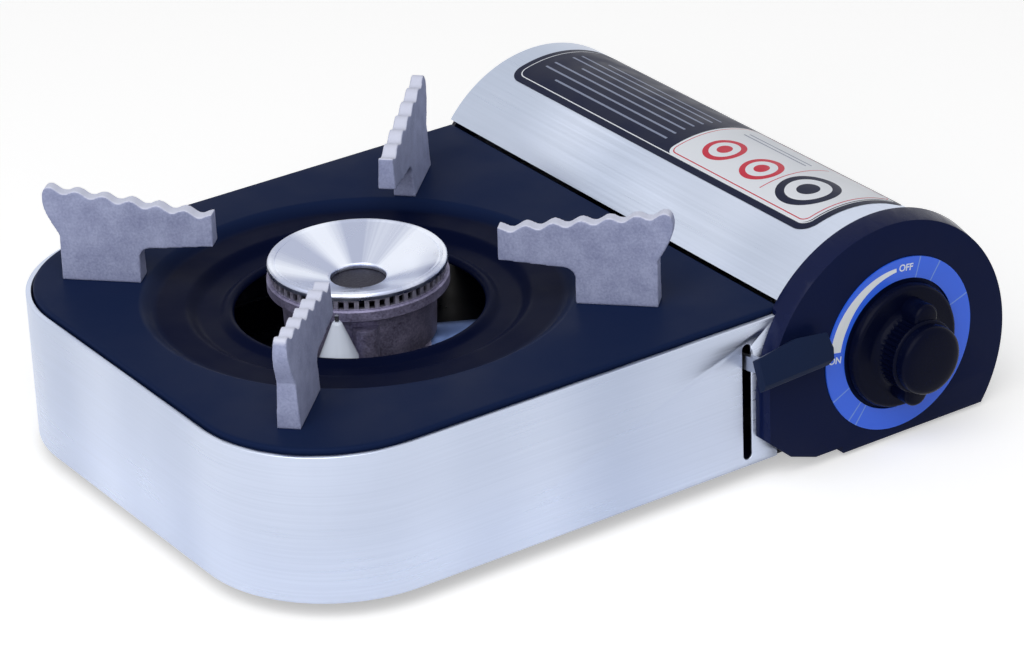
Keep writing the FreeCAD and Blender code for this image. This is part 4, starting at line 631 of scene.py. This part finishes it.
@dataclass
class Studio:
    """The camera, the soft lights, the pale floor and the white background."""

    azimuth: float = -33.45
    elevation: float = 26.18
    roll: float = -2.38
    distance_mm: float = 1601.4
    lens_mm: float = 144.65
    target: Point = (160.6, 90.9, 40.0)
    sky_light: float = 0.28
    floor_glow: float = 0.42
    softbox_place: Point = (-1.2, -1.0, 1.7)
    softbox_size: float = 2.4
    softbox_watts: float = 40.0

    def build(self) -> None:
        """Makes the whole studio."""
        self.make_camera()
        self.make_floor()
        self.make_world()
        self.make_light()
        bpy.context.scene.view_settings.view_transform = "Standard"

    def make_camera(self) -> None:
        """Sets the camera that the photograph was fitted with."""
        turn, rise, tilt = (math.radians(v) for v in (self.azimuth, self.elevation, self.roll))
        back = Vector((math.sin(turn) * math.cos(rise), -math.cos(turn) * math.cos(rise), math.sin(rise)))
        right = Vector((math.cos(turn), math.sin(turn), 0))
        up = back.cross(right)
        right, up = (
            math.cos(tilt) * right + math.sin(tilt) * up,
            -math.sin(tilt) * right + math.cos(tilt) * up,
        )
        data = bpy.data.cameras.new("camera")
        data.lens = self.lens_mm
        data.sensor_width = 36
        camera = link(bpy.data.objects.new("camera", data))
        camera.matrix_world = Matrix((right, up, back)).transposed().to_4x4()
        camera.location = spot(*self.target) + back * self.distance_mm / 1000
        bpy.context.scene.camera = camera

    def make_floor(self) -> None:
        """Lays a wide pale floor that the camera sees nearly white."""
        floor = mesh_object("floor", [(-6, -6, 0), (6, -6, 0), (6, 6, 0), (-6, 6, 0)], [(0, 1, 2, 3)])
        material = bpy.data.materials.new("pale_floor")
        material.use_nodes = True
        shader = shader_of(material)
        shader.inputs["Base Color"].default_value = (0.88, 0.88, 0.88, 1)
        shader.inputs["Roughness"].default_value = 0.9
        shader.inputs["Emission Color"].default_value = (1, 1, 1, 1)
        seen = self.background_rays(material.node_tree)
        level = add_node(material.node_tree, "MapRange", {"To Max": self.floor_glow}, {"Value": seen})
        material.node_tree.links.new(level.outputs[0], shader.inputs["Emission Strength"])
        floor.data.materials.append(material)

    def make_world(self) -> None:
        """Sets an even grey light all round, with a white background where the camera and metal see it."""
        world = bpy.data.worlds.new("studio")
        world.use_nodes = True
        bpy.context.scene.world = world
        tree = world.node_tree
        background = next(n for n in tree.nodes if n.type == "BACKGROUND")
        level = add_node(tree, "MapRange", {"To Min": self.sky_light}, {"Value": self.background_rays(tree)})
        tree.links.new(level.outputs[0], background.inputs["Strength"])
        background.inputs["Color"].default_value = (1, 1, 1, 1)

    def background_rays(self, tree: bpy.types.NodeTree) -> bpy.types.Node:
        """Tells rays that show the background, straight or in metal and glass, from those that give light.

        Args:
            tree: The node tree that asks.

        Returns:
            One for a ray that shows the background, otherwise nought.
        """
        rays = add_node(tree, "LightPath").outputs
        straight = {0: rays["Is Camera Ray"], 1: rays["Is Glossy Ray"]}
        seen = add_node(tree, "Math", {"operation": "MAXIMUM"}, straight)
        through = {0: seen, 1: rays["Is Transmission Ray"]}
        return add_node(tree, "Math", {"operation": "MAXIMUM"}, through)

    def make_light(self) -> None:
        """Hangs one square softbox that faces the stove's middle."""
        data = bpy.data.lights.new("key_softbox", "AREA")
        data.size = self.softbox_size
        data.energy = self.softbox_watts
        lamp = link(bpy.data.objects.new("key_softbox", data))
        lamp.location = self.softbox_place
        lamp.rotation_mode = "QUATERNION"
        lamp.rotation_quaternion = (Vector(self.softbox_place) - Vector((0, 0, 0.04))).to_track_quat("Z", "Y")


def mesh_object(name: str, points: list[Point], faces: list[tuple[int, ...]]) -> bpy.types.Object:
    """Makes a smooth-shaded object from its points and faces.

    Args:
        name: The object's name.
        points: Its corners, in metres.
        faces: The corner numbers of each face.

    Returns:
        The new object, linked to the scene.
    """
    data = bpy.data.meshes.new(name)
    data.from_pydata([tuple(p) for p in points], [], faces)
    data.validate()
    for face in data.polygons:
        face.use_smooth = True
    return link(bpy.data.objects.new(name, data))


def link(made: bpy.types.Object) -> bpy.types.Object:
    """Links a new object to the scene and gives it back."""
    bpy.context.scene.collection.objects.link(made)
    return made


def eased(node: str, name: str, width_mm: float, segments: int = 2) -> bpy.types.Object:
    """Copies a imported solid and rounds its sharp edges, as moulding or deburring does.

    Args:
        node: The solid's name.
        name: The new piece's name.
        width_mm: How wide each rounded edge is.
        segments: How many steps each rounded edge has.

    Returns:
        The rounded piece.
    """
    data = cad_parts[node].data.copy()
    shape = bmesh.new()
    shape.from_mesh(data)
    bmesh.ops.remove_doubles(shape, verts=shape.verts, dist=2e-6)
    bmesh.ops.dissolve_limit(shape, angle_limit=math.radians(0.6), verts=shape.verts, edges=shape.edges)
    for face in shape.faces:
        face.smooth = True
    shape.to_mesh(data)
    shape.free()
    made = link(bpy.data.objects.new(name, data))
    data.materials.clear()
    rounding = made.modifiers.new("eased_edges", "BEVEL")
    rounding.width = width_mm / 1000
    rounding.segments = segments
    rounding.limit_method = "ANGLE"
    rounding.angle_limit = math.radians(32)
    rounding.harden_normals = True
    return made


def softened(node: str, name: str, voxel_mm: float, rounds: int) -> bpy.types.Object:
    """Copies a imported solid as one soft-edged skin, as a sand casting has.

    Args:
        node: The solid's name.
        name: The new piece's name.
        voxel_mm: The size of the skin's faces.
        rounds: How often the skin is smoothed.

    Returns:
        The soft-edged piece.
    """
    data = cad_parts[node].data.copy()
    data.materials.clear()
    made = link(bpy.data.objects.new(name, data))
    skin = made.modifiers.new("cast_skin", "REMESH")
    skin.mode = "VOXEL"
    skin.voxel_size = voxel_mm / 1000
    skin.use_smooth_shade = True
    soft = made.modifiers.new("soft_edges", "SMOOTH")
    soft.factor = 0.5
    soft.iterations = rounds
    return made


@dataclass(frozen=True)
class Lathe:
    """A turned shape: an outline of (radius, height) pairs in millimetres, spun about an axis."""

    outline: tuple[Pair, ...]
    steps: int = 96
    ripple_count: int = 0
    ripple_mm: float = 0.0
    ripple_span: Pair = (0.0, 0.0)

    def radius(self, radius: float, height: float, angle: float) -> float:
        """Gives the radius at one place, drawn in by the ribs where there are any."""
        low, high = self.ripple_span
        if self.ripple_count == 0 or not low <= height <= high:
            return radius
        return radius - self.ripple_mm * (0.5 - 0.5 * math.cos(self.ripple_count * angle))

    def build(self, name: str, place: Vector, turn: Matrix) -> bpy.types.Object:
        """Makes the turned piece.

        Args:
            name: The piece's name.
            place: Where its axis starts, in metres.
            turn: How its axis, at first upright, is turned.

        Returns:
            The new piece.
        """
        points, faces = [], []
        for radius, height in self.outline:
            for step in range(self.steps):
                angle = 2 * math.pi * step / self.steps
                reach = self.radius(radius, height, angle)
                local = Vector((reach * math.cos(angle), reach * math.sin(angle), height)) / 1000
                points.append(place + turn @ local)
        for row in range(len(self.outline) - 1):
            for step in range(self.steps):
                after = (step + 1) % self.steps
                low, high = row * self.steps, (row + 1) * self.steps
                faces.append((low + step, low + after, high + after, high + step))
        made = mesh_object(name, points, faces)
        weld(made)
        return made


def weld(made: bpy.types.Object, sharp: float = 40.0) -> None:
    """Joins points that lie together and keeps true corners crisp.

    Args:
        made: The piece.
        sharp: The angle in degrees from which an edge stays sharp.
    """
    shape = bmesh.new()
    shape.from_mesh(made.data)
    bmesh.ops.remove_doubles(shape, verts=shape.verts, dist=1e-6)
    bmesh.ops.recalc_face_normals(shape, faces=shape.faces)
    for edge in shape.edges:
        edge.smooth = edge.calc_face_angle(0.0) < math.radians(sharp)
    shape.to_mesh(made.data)
    shape.free()


FORWARD = Matrix.Rotation(math.radians(90), 3, "X")
UPRIGHT = Matrix.Identity(3)


def loft(name: str, rings: list[list[Vector]], close: bool = True) -> bpy.types.Object:
    """Joins rings of points into one skin, with its last ring closed by a fan.

    Args:
        name: The piece's name.
        rings: Rings with the same number of points each, in metres.
        close: Whether both end rings are filled.

    Returns:
        The new piece.
    """
    count = len(rings[0])
    points = [point for ring in rings for point in ring]
    faces: list[tuple[int, ...]] = []
    for row in range(len(rings) - 1):
        for step in range(count):
            after = (step + 1) % count
            low, high = row * count, (row + 1) * count
            faces.append((low + step, low + after, high + after, high + step))
    if close:
        faces.append(tuple(range(count)))
        faces.append(tuple(range((len(rings) - 1) * count, len(rings) * count)))
    made = mesh_object(name, points, faces)
    weld(made)
    return made


@dataclass
class Piece:
    """How one piece of the dressed stove is declared."""

    made: bpy.types.Object
    body: str
    finish: Finish
    slot: str
    replaces: tuple[str, ...] = ()


def settle(piece: Piece, finishes: Finishes) -> bpy.types.Object:
    """Gives a piece its finish and its body, and reports it.

    Args:
        piece: The piece and what it is declared as.
        finishes: The finishes built so far.

    Returns:
        The piece's object.
    """
    made = piece.made
    made.data.materials.clear()
    made.data.materials.append(finishes.get(piece.finish))
    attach(made, piece.body)
    if piece.replaces:
        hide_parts(*piece.replaces)
    log.info("piece %s rides on %s", made.name, piece.body)
    return made


@dataclass
class TopPlate:
    """The pressed and enamelled top plate with its stepped round dish and rolled inner lip."""

    left: float = 3.0
    right: float = 223.7
    front: float = 3.0
    back: float = 226.0
    corner: float = 53.0
    top: float = PLATE_TOP
    dish: float = 84.6
    ledge_out: float = 79.0
    ledge_in: float = 67.7
    floor_out: float = 61.5
    lip: float = 48.5
    ledge_drop: float = 3.4
    floor_drop: float = 7.0
    crest_drop: float = 5.0
    lip_round: float = 2.2
    bank: float = 6.5
    skirt: float = 6.2
    wall: float = 1.1
    edge_round: tuple[Pair, ...] = ((2.0, 0.0), (1.0, 0.04), (0.45, 0.16), (0.12, 0.5), (0.0, 1.0))

    def profile(self) -> list[Pair]:
        """Gives the dish's section from its lip outwards, with soft pressed bends.

        Returns:
            (radius, drop below the plate) pairs.
        """
        rows: list[Pair] = []
        for step in range(7):
            turn = math.radians(90 * step / 6)
            out = self.lip + self.lip_round * (1 - math.cos(turn))
            rows.append((out, self.crest_drop + self.lip_round * (1 - math.sin(turn))))
        spans = (
            (self.lip + self.lip_round, self.lip + self.bank, self.crest_drop, self.floor_drop),
            (self.lip + self.bank, self.floor_out, self.floor_drop, self.floor_drop),
            (self.floor_out, self.ledge_in, self.floor_drop, self.ledge_drop + 0.2),
            (self.ledge_in, self.ledge_out, self.ledge_drop + 0.2, self.ledge_drop),
            (self.ledge_out, self.dish + 0.6, self.ledge_drop, 0.0),
        )
        for inner, outer, low, high in spans:
            for step in range(1, 11):
                share = step / 10
                ease = share * share * (3 - 2 * share)
                rows.append((inner + (outer - inner) * share, low + (high - low) * ease))
        return rows

    def outline(self) -> list[Pair]:
        """Gives the plate's outer edge: two round corners at the left and two square ones at the right.

        Returns:
            (x, y) places in the band's frame.
        """
        bend_x = self.left + self.corner
        back_y, front_y = self.back - self.corner, self.front + self.corner
        places = self.corner_arc(bend_x, back_y, 90)
        places += self.straight((self.left, back_y), (self.left, front_y), 24)[:-1]
        places += self.corner_arc(bend_x, front_y, 180)
        places += self.straight((bend_x, self.front), (self.right, self.front), 24)
        places += self.straight((self.right, self.front), (self.right, self.back), 40)
        places += self.straight((self.right, self.back), (bend_x, self.back), 24)[:-1]
        return places

    def corner_arc(self, middle_x: float, middle_y: float, start: float) -> list[Pair]:
        """Gives a quarter circle at one of the round corners.

        Args:
            middle_x: The corner's middle.
            middle_y: The corner's middle.
            start: The angle in degrees at which it starts.

        Returns:
            Its (x, y) places.
        """
        turns = [math.radians(start + 90 * step / 32) for step in range(33)]
        return [(middle_x + self.corner * math.cos(t), middle_y + self.corner * math.sin(t)) for t in turns]

    def straight(self, start: Pair, end: Pair, count: int) -> list[Pair]:
        """Gives places in even steps along a straight edge.

        Args:
            start: Where it starts, which isn't given again.
            end: Where it ends.
            count: How many places it has.

        Returns:
            Its (x, y) places.
        """
        shares = [step / count for step in range(1, count + 1)]
        return [(start[0] + (end[0] - start[0]) * s, start[1] + (end[1] - start[1]) * s) for s in shares]

    def build(self, finishes: Finishes) -> None:
        """Makes the plate as rings of points from the lip to the skirt.

        Args:
            finishes: The finishes built so far.
        """
        edge = self.outline()
        rings = [[self.dish_point(x, y, radius, drop) for x, y in edge] for radius, drop in self.profile()]
        for inset, drop in self.edge_round + ((0.0, self.skirt),):
            rings.append([self.edge_point(x, y, inset, drop) for x, y in edge])
        made = loft("top_plate_pressing", rings, close=False)
        thick = made.modifiers.new("sheet", "SOLIDIFY")
        thick.thickness = self.wall / 1000
        thick.offset = -1.0
        settle(Piece(made, "top_grate", PLATE_ENAMEL, "black_enamel", ("top_plate",)), finishes)

    def dish_point(self, x: float, y: float, radius: float, drop: float) -> Vector:
        """Gives the dish's point that lies towards a place of the outer edge.

        Args:
            x: The place on the outer edge.
            y: The place on the outer edge.
            radius: The point's distance from the burner's axis.
            drop: How far it lies below the plate.

        Returns:
            The point in metres.
        """
        away = math.atan2(y - BURNER[1], x - BURNER[0])
        place = BURNER[0] + radius * math.cos(away), BURNER[1] + radius * math.sin(away)
        return spot(*place, self.top - drop)

    def edge_point(self, x: float, y: float, inset: float, drop: float) -> Vector:
        """Gives a point of the rounded outer edge.

        Args:
            x: The place on the outer edge.
            y: The place on the outer edge.
            inset: How far the edge is drawn in there.
            drop: How far it lies below the plate.

        Returns:
            The point in metres.
        """
        in_x = inset * self.inward(x, self.left, self.right)
        in_y = inset * self.inward(y, self.front, self.back)
        return spot(x + in_x, y + in_y, self.top - drop)

    def inward(self, value: float, low: float, high: float) -> float:
        """Tells how far inwards an edge's point moves, from one at the low side to minus one at the high."""
        return 1 - 2 * (value - low) / (high - low)


@dataclass
class Supports:
    """The four cast pan supports."""

    voxel_mm: float = 0.5

    def build(self, finishes: Finishes) -> None:
        """Gives each support the soft edges of a casting.

        Args:
            finishes: The finishes built so far.
        """
        for side in ("front", "left", "back", "right"):
            node = f"pan_support_{side}"
            made = softened(node, f"cast_support_{side}", self.voxel_mm, 3)
            settle(Piece(made, "top_grate", SUPPORT_CAST, "cast_metal", (node,)), finishes)


@dataclass
class BurnerCap:
    """The burner's spun cap: a cone that falls to a round hole, with a raised ring round its rim."""

    radius: float = 34.8
    hole: float = 10.8
    top: float = 76.0
    dip: float = 8.6
    band: float = 2.7

    def build(self, finishes: Finishes) -> None:
        """Spins the cap from its outline, which runs from the hole up the cone, over the rim and back below.

        Args:
            finishes: The finishes built so far.
        """
        r, h, t, low = self.radius, self.hole, self.top, self.top - self.dip
        outline = (
            (h, low - 2.0), (h, low - 0.4), (h + 0.3, low + 0.1), (h + 1.0, low + 0.4), (r - 3.4, t - 0.5),
            (r - 2.9, t - 0.8), (r - 2.5, t - 0.7), (r - 2.1, t - 0.15), (r - 1.6, t), (r - 1.1, t - 0.03),
            (r - 0.7, t - 0.2), (r - 0.3, t - 0.6), (r - 0.05, t - 1.1), (r, t - 1.5), (r, t - self.band),
            (r - 1.0, t - self.band), (r - 1.0, t - 1.7), (r - 3.4, t - 1.7), (h, low - 2.0),
        )
        made = Lathe(outline, 180).build("burner_cap_spinning", spot(*BURNER, 0.0), UPRIGHT)
        settle(Piece(made, "housing", CAP_STEEL, "polished_stainless", ("burner_cap",)), finishes)


@dataclass
class Knob:
    """The control knob: a flange, a ribbed barrel, a domed cap and a cross bar with round ends."""

    base: float = -7.8
    flange: float = 25.6
    barrel: float = 15.0
    cap: float = 14.0
    depth: float = 21.0
    ribs: int = 44
    bar_length: float = 42.0
    bar_width: float = 11.0
    bar_depth: float = 14.0
    lean: float = 8.5

    def build(self, finishes: Finishes) -> None:
        """Makes the turned body and the cross bar.

        Args:
            finishes: The finishes built so far.
        """
        f, b, c, d = self.flange, self.barrel, self.cap, self.depth
        outline = (
            (3.1, 0.0), (f - 0.4, 0.0), (f, 0.4), (f, 1.2), (f - 0.5, 2.8), (f - 0.9, 3.6), (f - 1.4, 4.0),
            (f - 2.4, 4.1), (b + 3.0, 4.4), (b + 1.2, 4.8), (b + 0.3, 5.6), (b, 6.6), (b, 7.0), (b, 13.6),
            (b, 14.2), (b - 0.2, 14.7), (b - 0.5, 14.9), (c, 15.1), (c, 15.6), (c, d - 2.6),
            (c - 0.3, d - 1.7),
            (c - 1.0, d - 1.0), (c - 2.2, d - 0.55), (c - 5.0, d - 0.2), (c - 9.0, d - 0.05), (0.0, d),
        )
        body = Lathe(outline, 264, self.ribs, 0.8, (6.8, 13.9)).build(
            "knob_turning", spot(DIAL[0], self.base, DIAL[1]), FORWARD
        )
        settle(Piece(body, "knob", KNOB_ABS, "black_plastic", ("control_knob",)), finishes)
        settle(Piece(self.make_bar(), "knob", KNOB_ABS, "black_plastic"), finishes)

    def make_bar(self) -> bpy.types.Object:
        """Makes the cross bar that the fingers turn.

        Returns:
            The bar, leaning as the knob stands at rest.
        """
        d = self.bar_depth
        outline = ((0.0, 2.0), (0.0, d - 1.6), (0.15, d - 0.9), (0.6, d - 0.3), (1.4, d))
        return loft("knob_cross_bar", [self.bar_ring(inset, height) for inset, height in outline])

    def bar_ring(self, inset: float, height: float) -> list[Vector]:
        """Gives one outline of the bar.

        Args:
            inset: How far the outline is drawn in.
            height: How far it stands out from the knob's base.

        Returns:
            Its points, in metres.
        """
        width = self.bar_width / 2 - inset
        half = self.bar_length / 2 - self.bar_width / 2
        lean = math.radians(self.lean)
        ring = []
        for end, start in ((half, 0), (-half, 180)):
            for step in range(25):
                turn = math.radians(start + 180 * step / 24)
                across, up = width * math.cos(turn), end + width * math.sin(turn)
                x = across * math.cos(lean) + up * math.sin(lean)
                z = -across * math.sin(lean) + up * math.cos(lean)
                ring.append(spot(DIAL[0] + x, self.base - height, DIAL[1] + z))
        return ring


class Word(Enum):
    """The two plain words on the dial, with their angle round it in degrees."""

    OFF = 84.0
    ON = 176.0


@dataclass
class Dial:
    """The printed dial's words."""

    face: float = -7.6
    radius: float = 31.5
    height_mm: float = 3.9
    lift: float = 0.04
    lean: float = -8.5
    ink_mm: float = 0.03
    swell_mm: float = 0.08

    def build(self, finishes: Finishes) -> None:
        """Prints each word as a thin raised film.

        Args:
            finishes: The finishes built so far.
        """
        for word in Word:
            turn = math.radians(word.value)
            data = bpy.data.curves.new(f"dial_word_{word.name}", "FONT")
            data.body = word.name
            data.size = self.height_mm / 1000
            data.align_x = "CENTER"
            data.align_y = "CENTER"
            data.extrude = self.ink_mm / 1000
            data.offset = self.swell_mm / 1000
            typed = link(bpy.data.objects.new("typed", data))
            graph = bpy.context.evaluated_depsgraph_get()
            shape = bpy.data.meshes.new_from_object(typed.evaluated_get(graph))
            bpy.data.objects.remove(typed)
            across, up = self.radius * math.cos(turn), self.radius * math.sin(turn)
            place = spot(DIAL[0] + across, self.face - self.lift, DIAL[1] + up)
            leaning = Matrix.Rotation(math.radians(self.lean), 4, "Z")
            shape.transform(Matrix.Translation(place) @ FORWARD.to_4x4() @ leaning)
            made = link(bpy.data.objects.new(f"dial_word_{word.name.lower()}", shape))
            settle(Piece(made, "housing", DIAL_INK, "dial_blue"), finishes)


@dataclass(frozen=True)
class FilmField:
    """One printed field: its span over the lid's curve from the film's low edge, its span from front to back
    and the radius of its corners, in millimetres, with its ink and the layer of the film that it lies in."""

    name: str
    across: Pair
    along: Pair
    corner: float
    ink: Finish
    layer: int


@dataclass
class Lid:
    """The cartridge lid's printed film: plain shapes in a rounded frame, with nothing written on them."""

    middle: Pair = AXIS
    radius: float = 56.0
    low_angle: float = 112.5
    width: float = 53.3
    front: float = 17.5
    back: float = 218.0
    split: float = 111.0
    line_count: int = 7
    line_pitch: float = 4.6
    layer_mm: float = 0.03
    rings: tuple[tuple[float, float, float, Finish], ...] = (
        (19.0, 92.0, 9.0, FILM_RED),
        (19.0, 68.0, 9.0, FILM_RED),
        (21.0, 41.0, 13.0, FILM_NAVY),
    )
    ring_shares: tuple[float, ...] = (1.0, 0.72, 0.36)

    def build(self, finishes: Finishes) -> None:
        """Lays the film's fields on the lid, each a little above the one below.

        Args:
            finishes: The finishes built so far.
        """
        for shape in self.frames() + self.roundels() + self.lines():
            self.lay(shape, finishes)

    def frames(self) -> list[FilmField]:
        """Gives the dark and the pale ground with their edge lines.

        Returns:
            The fields, from the lowest layer up.
        """
        w, f, b, s = self.width, self.front, self.back, self.split
        return [
            FilmField("lid_film_frame", (0.0, w), (f, b), 7.0, FILM_NAVY, 2),
            FilmField("lid_film_line", (3.0, w - 3.0), (f + 3.0, b - 3.0), 4.6, FILM_WHITE, 3),
            FilmField("lid_film_field", (3.5, w - 3.5), (f + 3.5, b - 3.5), 4.2, FILM_NAVY, 4),
            FilmField("lid_film_pale", (3.2, w - 3.2), (f + 4.0, s), 4.4, FILM_WHITE, 5),
            FilmField("lid_film_red", (4.6, w - 4.6), (f + 5.4, s - 1.4), 3.3, FILM_RED, 6),
            FilmField("lid_film_inner", (5.1, w - 5.1), (f + 5.9, s - 1.9), 2.9, FILM_WHITE, 7),
        ]

    def roundels(self) -> list[FilmField]:
        """Gives the rings on the pale ground, each as discs laid one on another, and the line between them.

        Returns:
            The fields, from the lowest layer up.
        """
        shapes = []
        for number, (across, along, radius, ink) in enumerate(self.rings):
            for layer, share in enumerate(self.ring_shares):
                reach = radius * share
                spans = (across - reach, across + reach), (along - reach, along + reach)
                film = FILM_WHITE if layer == 1 else ink
                shapes.append(FilmField(f"lid_film_ring_{number}_{layer}", *spans, reach, film, 8 + layer))
        shapes.append(FilmField("lid_film_divider", (9.0, 44.0), (56.2, 56.7), 0.2, FILM_RED, 8))
        return shapes

    def lines(self) -> list[FilmField]:
        """Gives the ruled lines on the dark ground and beside the rings.

        Returns:
            The fields.
        """
        shapes = []
        for number in range(self.line_count):
            low = 9.0 + self.line_pitch * number
            spans = (low, low + 1.0), (118.0, self.back - (9.0 if number % 3 else 22.0))
            shapes.append(FilmField(f"lid_film_rule_{number}", *spans, 0.4, FILM_GREY, 5))
        for number in range(2):
            low = 36.0 + 3.0 * number
            spans = (low, low + 0.8), (62.0, 102.0)
            shapes.append(FilmField(f"lid_film_note_{number}", *spans, 0.3, FILM_GREY, 8))
        return shapes

    def lay(self, shape: FilmField, finishes: Finishes) -> None:
        """Lays one field of the film round the lid.

        Args:
            shape: The field.
            finishes: The finishes built so far.
        """
        reach = self.radius + self.layer_mm * shape.layer
        low, high = shape.across
        front, back = shape.along
        count = 40
        points, faces = [], []
        for column in range(count + 1):
            along = (high - low) * (0.5 - 0.5 * math.cos(math.pi * column / count))
            side = min(along, high - low - along)
            cut = 0.0
            if side < shape.corner:
                cut = shape.corner - math.sqrt(max(0.0, shape.corner**2 - (shape.corner - side) ** 2))
            angle = math.radians(self.low_angle) - (low + along) / self.radius
            x = self.middle[0] + reach * math.cos(angle)
            z = self.middle[1] + reach * math.sin(angle)
            points += [spot(x, front + cut, z), spot(x, back - cut, z)]
        for column in range(count):
            near = column * 2
            faces.append((near, near + 1, near + 3, near + 2))
        made = mesh_object(shape.name, points, faces)
        settle(Piece(made, "lid", shape.ink, "brushed_stainless"), finishes)


@dataclass
class Mouldings:
    """The moulded and folded pieces that only need their edges eased."""

    front_facing: float = 0.7

    def build(self, finishes: Finishes) -> None:
        """Eases each piece's edges by what its making gives it.

        Args:
            finishes: The finishes built so far.
        """
        for node, body, width, finish, slot in (
            ("front_panel", "housing", 0.7, PANEL_ABS, "black_plastic"),
            ("lever_grip", "lever", 0.6, GRIP_ABS, "black_plastic"),
            ("outer_band", "housing", 0.35, BAND_STEEL, "brushed_stainless"),
        ):
            made = eased(node, node + "_finished", width, 3)
            settle(Piece(made, body, finish, slot, (node,)), finishes)
            if node == "front_panel":
                self.polish_rim(made, finishes)

    def polish_rim(self, panel: bpy.types.Object, finishes: Finishes) -> None:
        """Gives the panel's sloping rim the polished finish.

        Args:
            panel: The front panel's piece.
            finishes: The finishes built so far.
        """
        panel.data.materials.append(finishes.get(RIM_ABS))
        for face in panel.data.polygons:
            if abs(face.normal.y) < self.front_facing:
                face.material_index = 1


def main() -> None:
    """Builds the studio and dresses the stove."""
    logging.basicConfig(level=logging.INFO, format="%(message)s")
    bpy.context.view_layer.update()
    Studio().build()
    finishes = Finishes()
    dress_nodes(finishes)
    for part in (TopPlate(), Supports(), BurnerCap(), Knob(), Dial(), Lid(), Mouldings()):
        part.build(finishes)


if __name__ == "__main__":
    main()
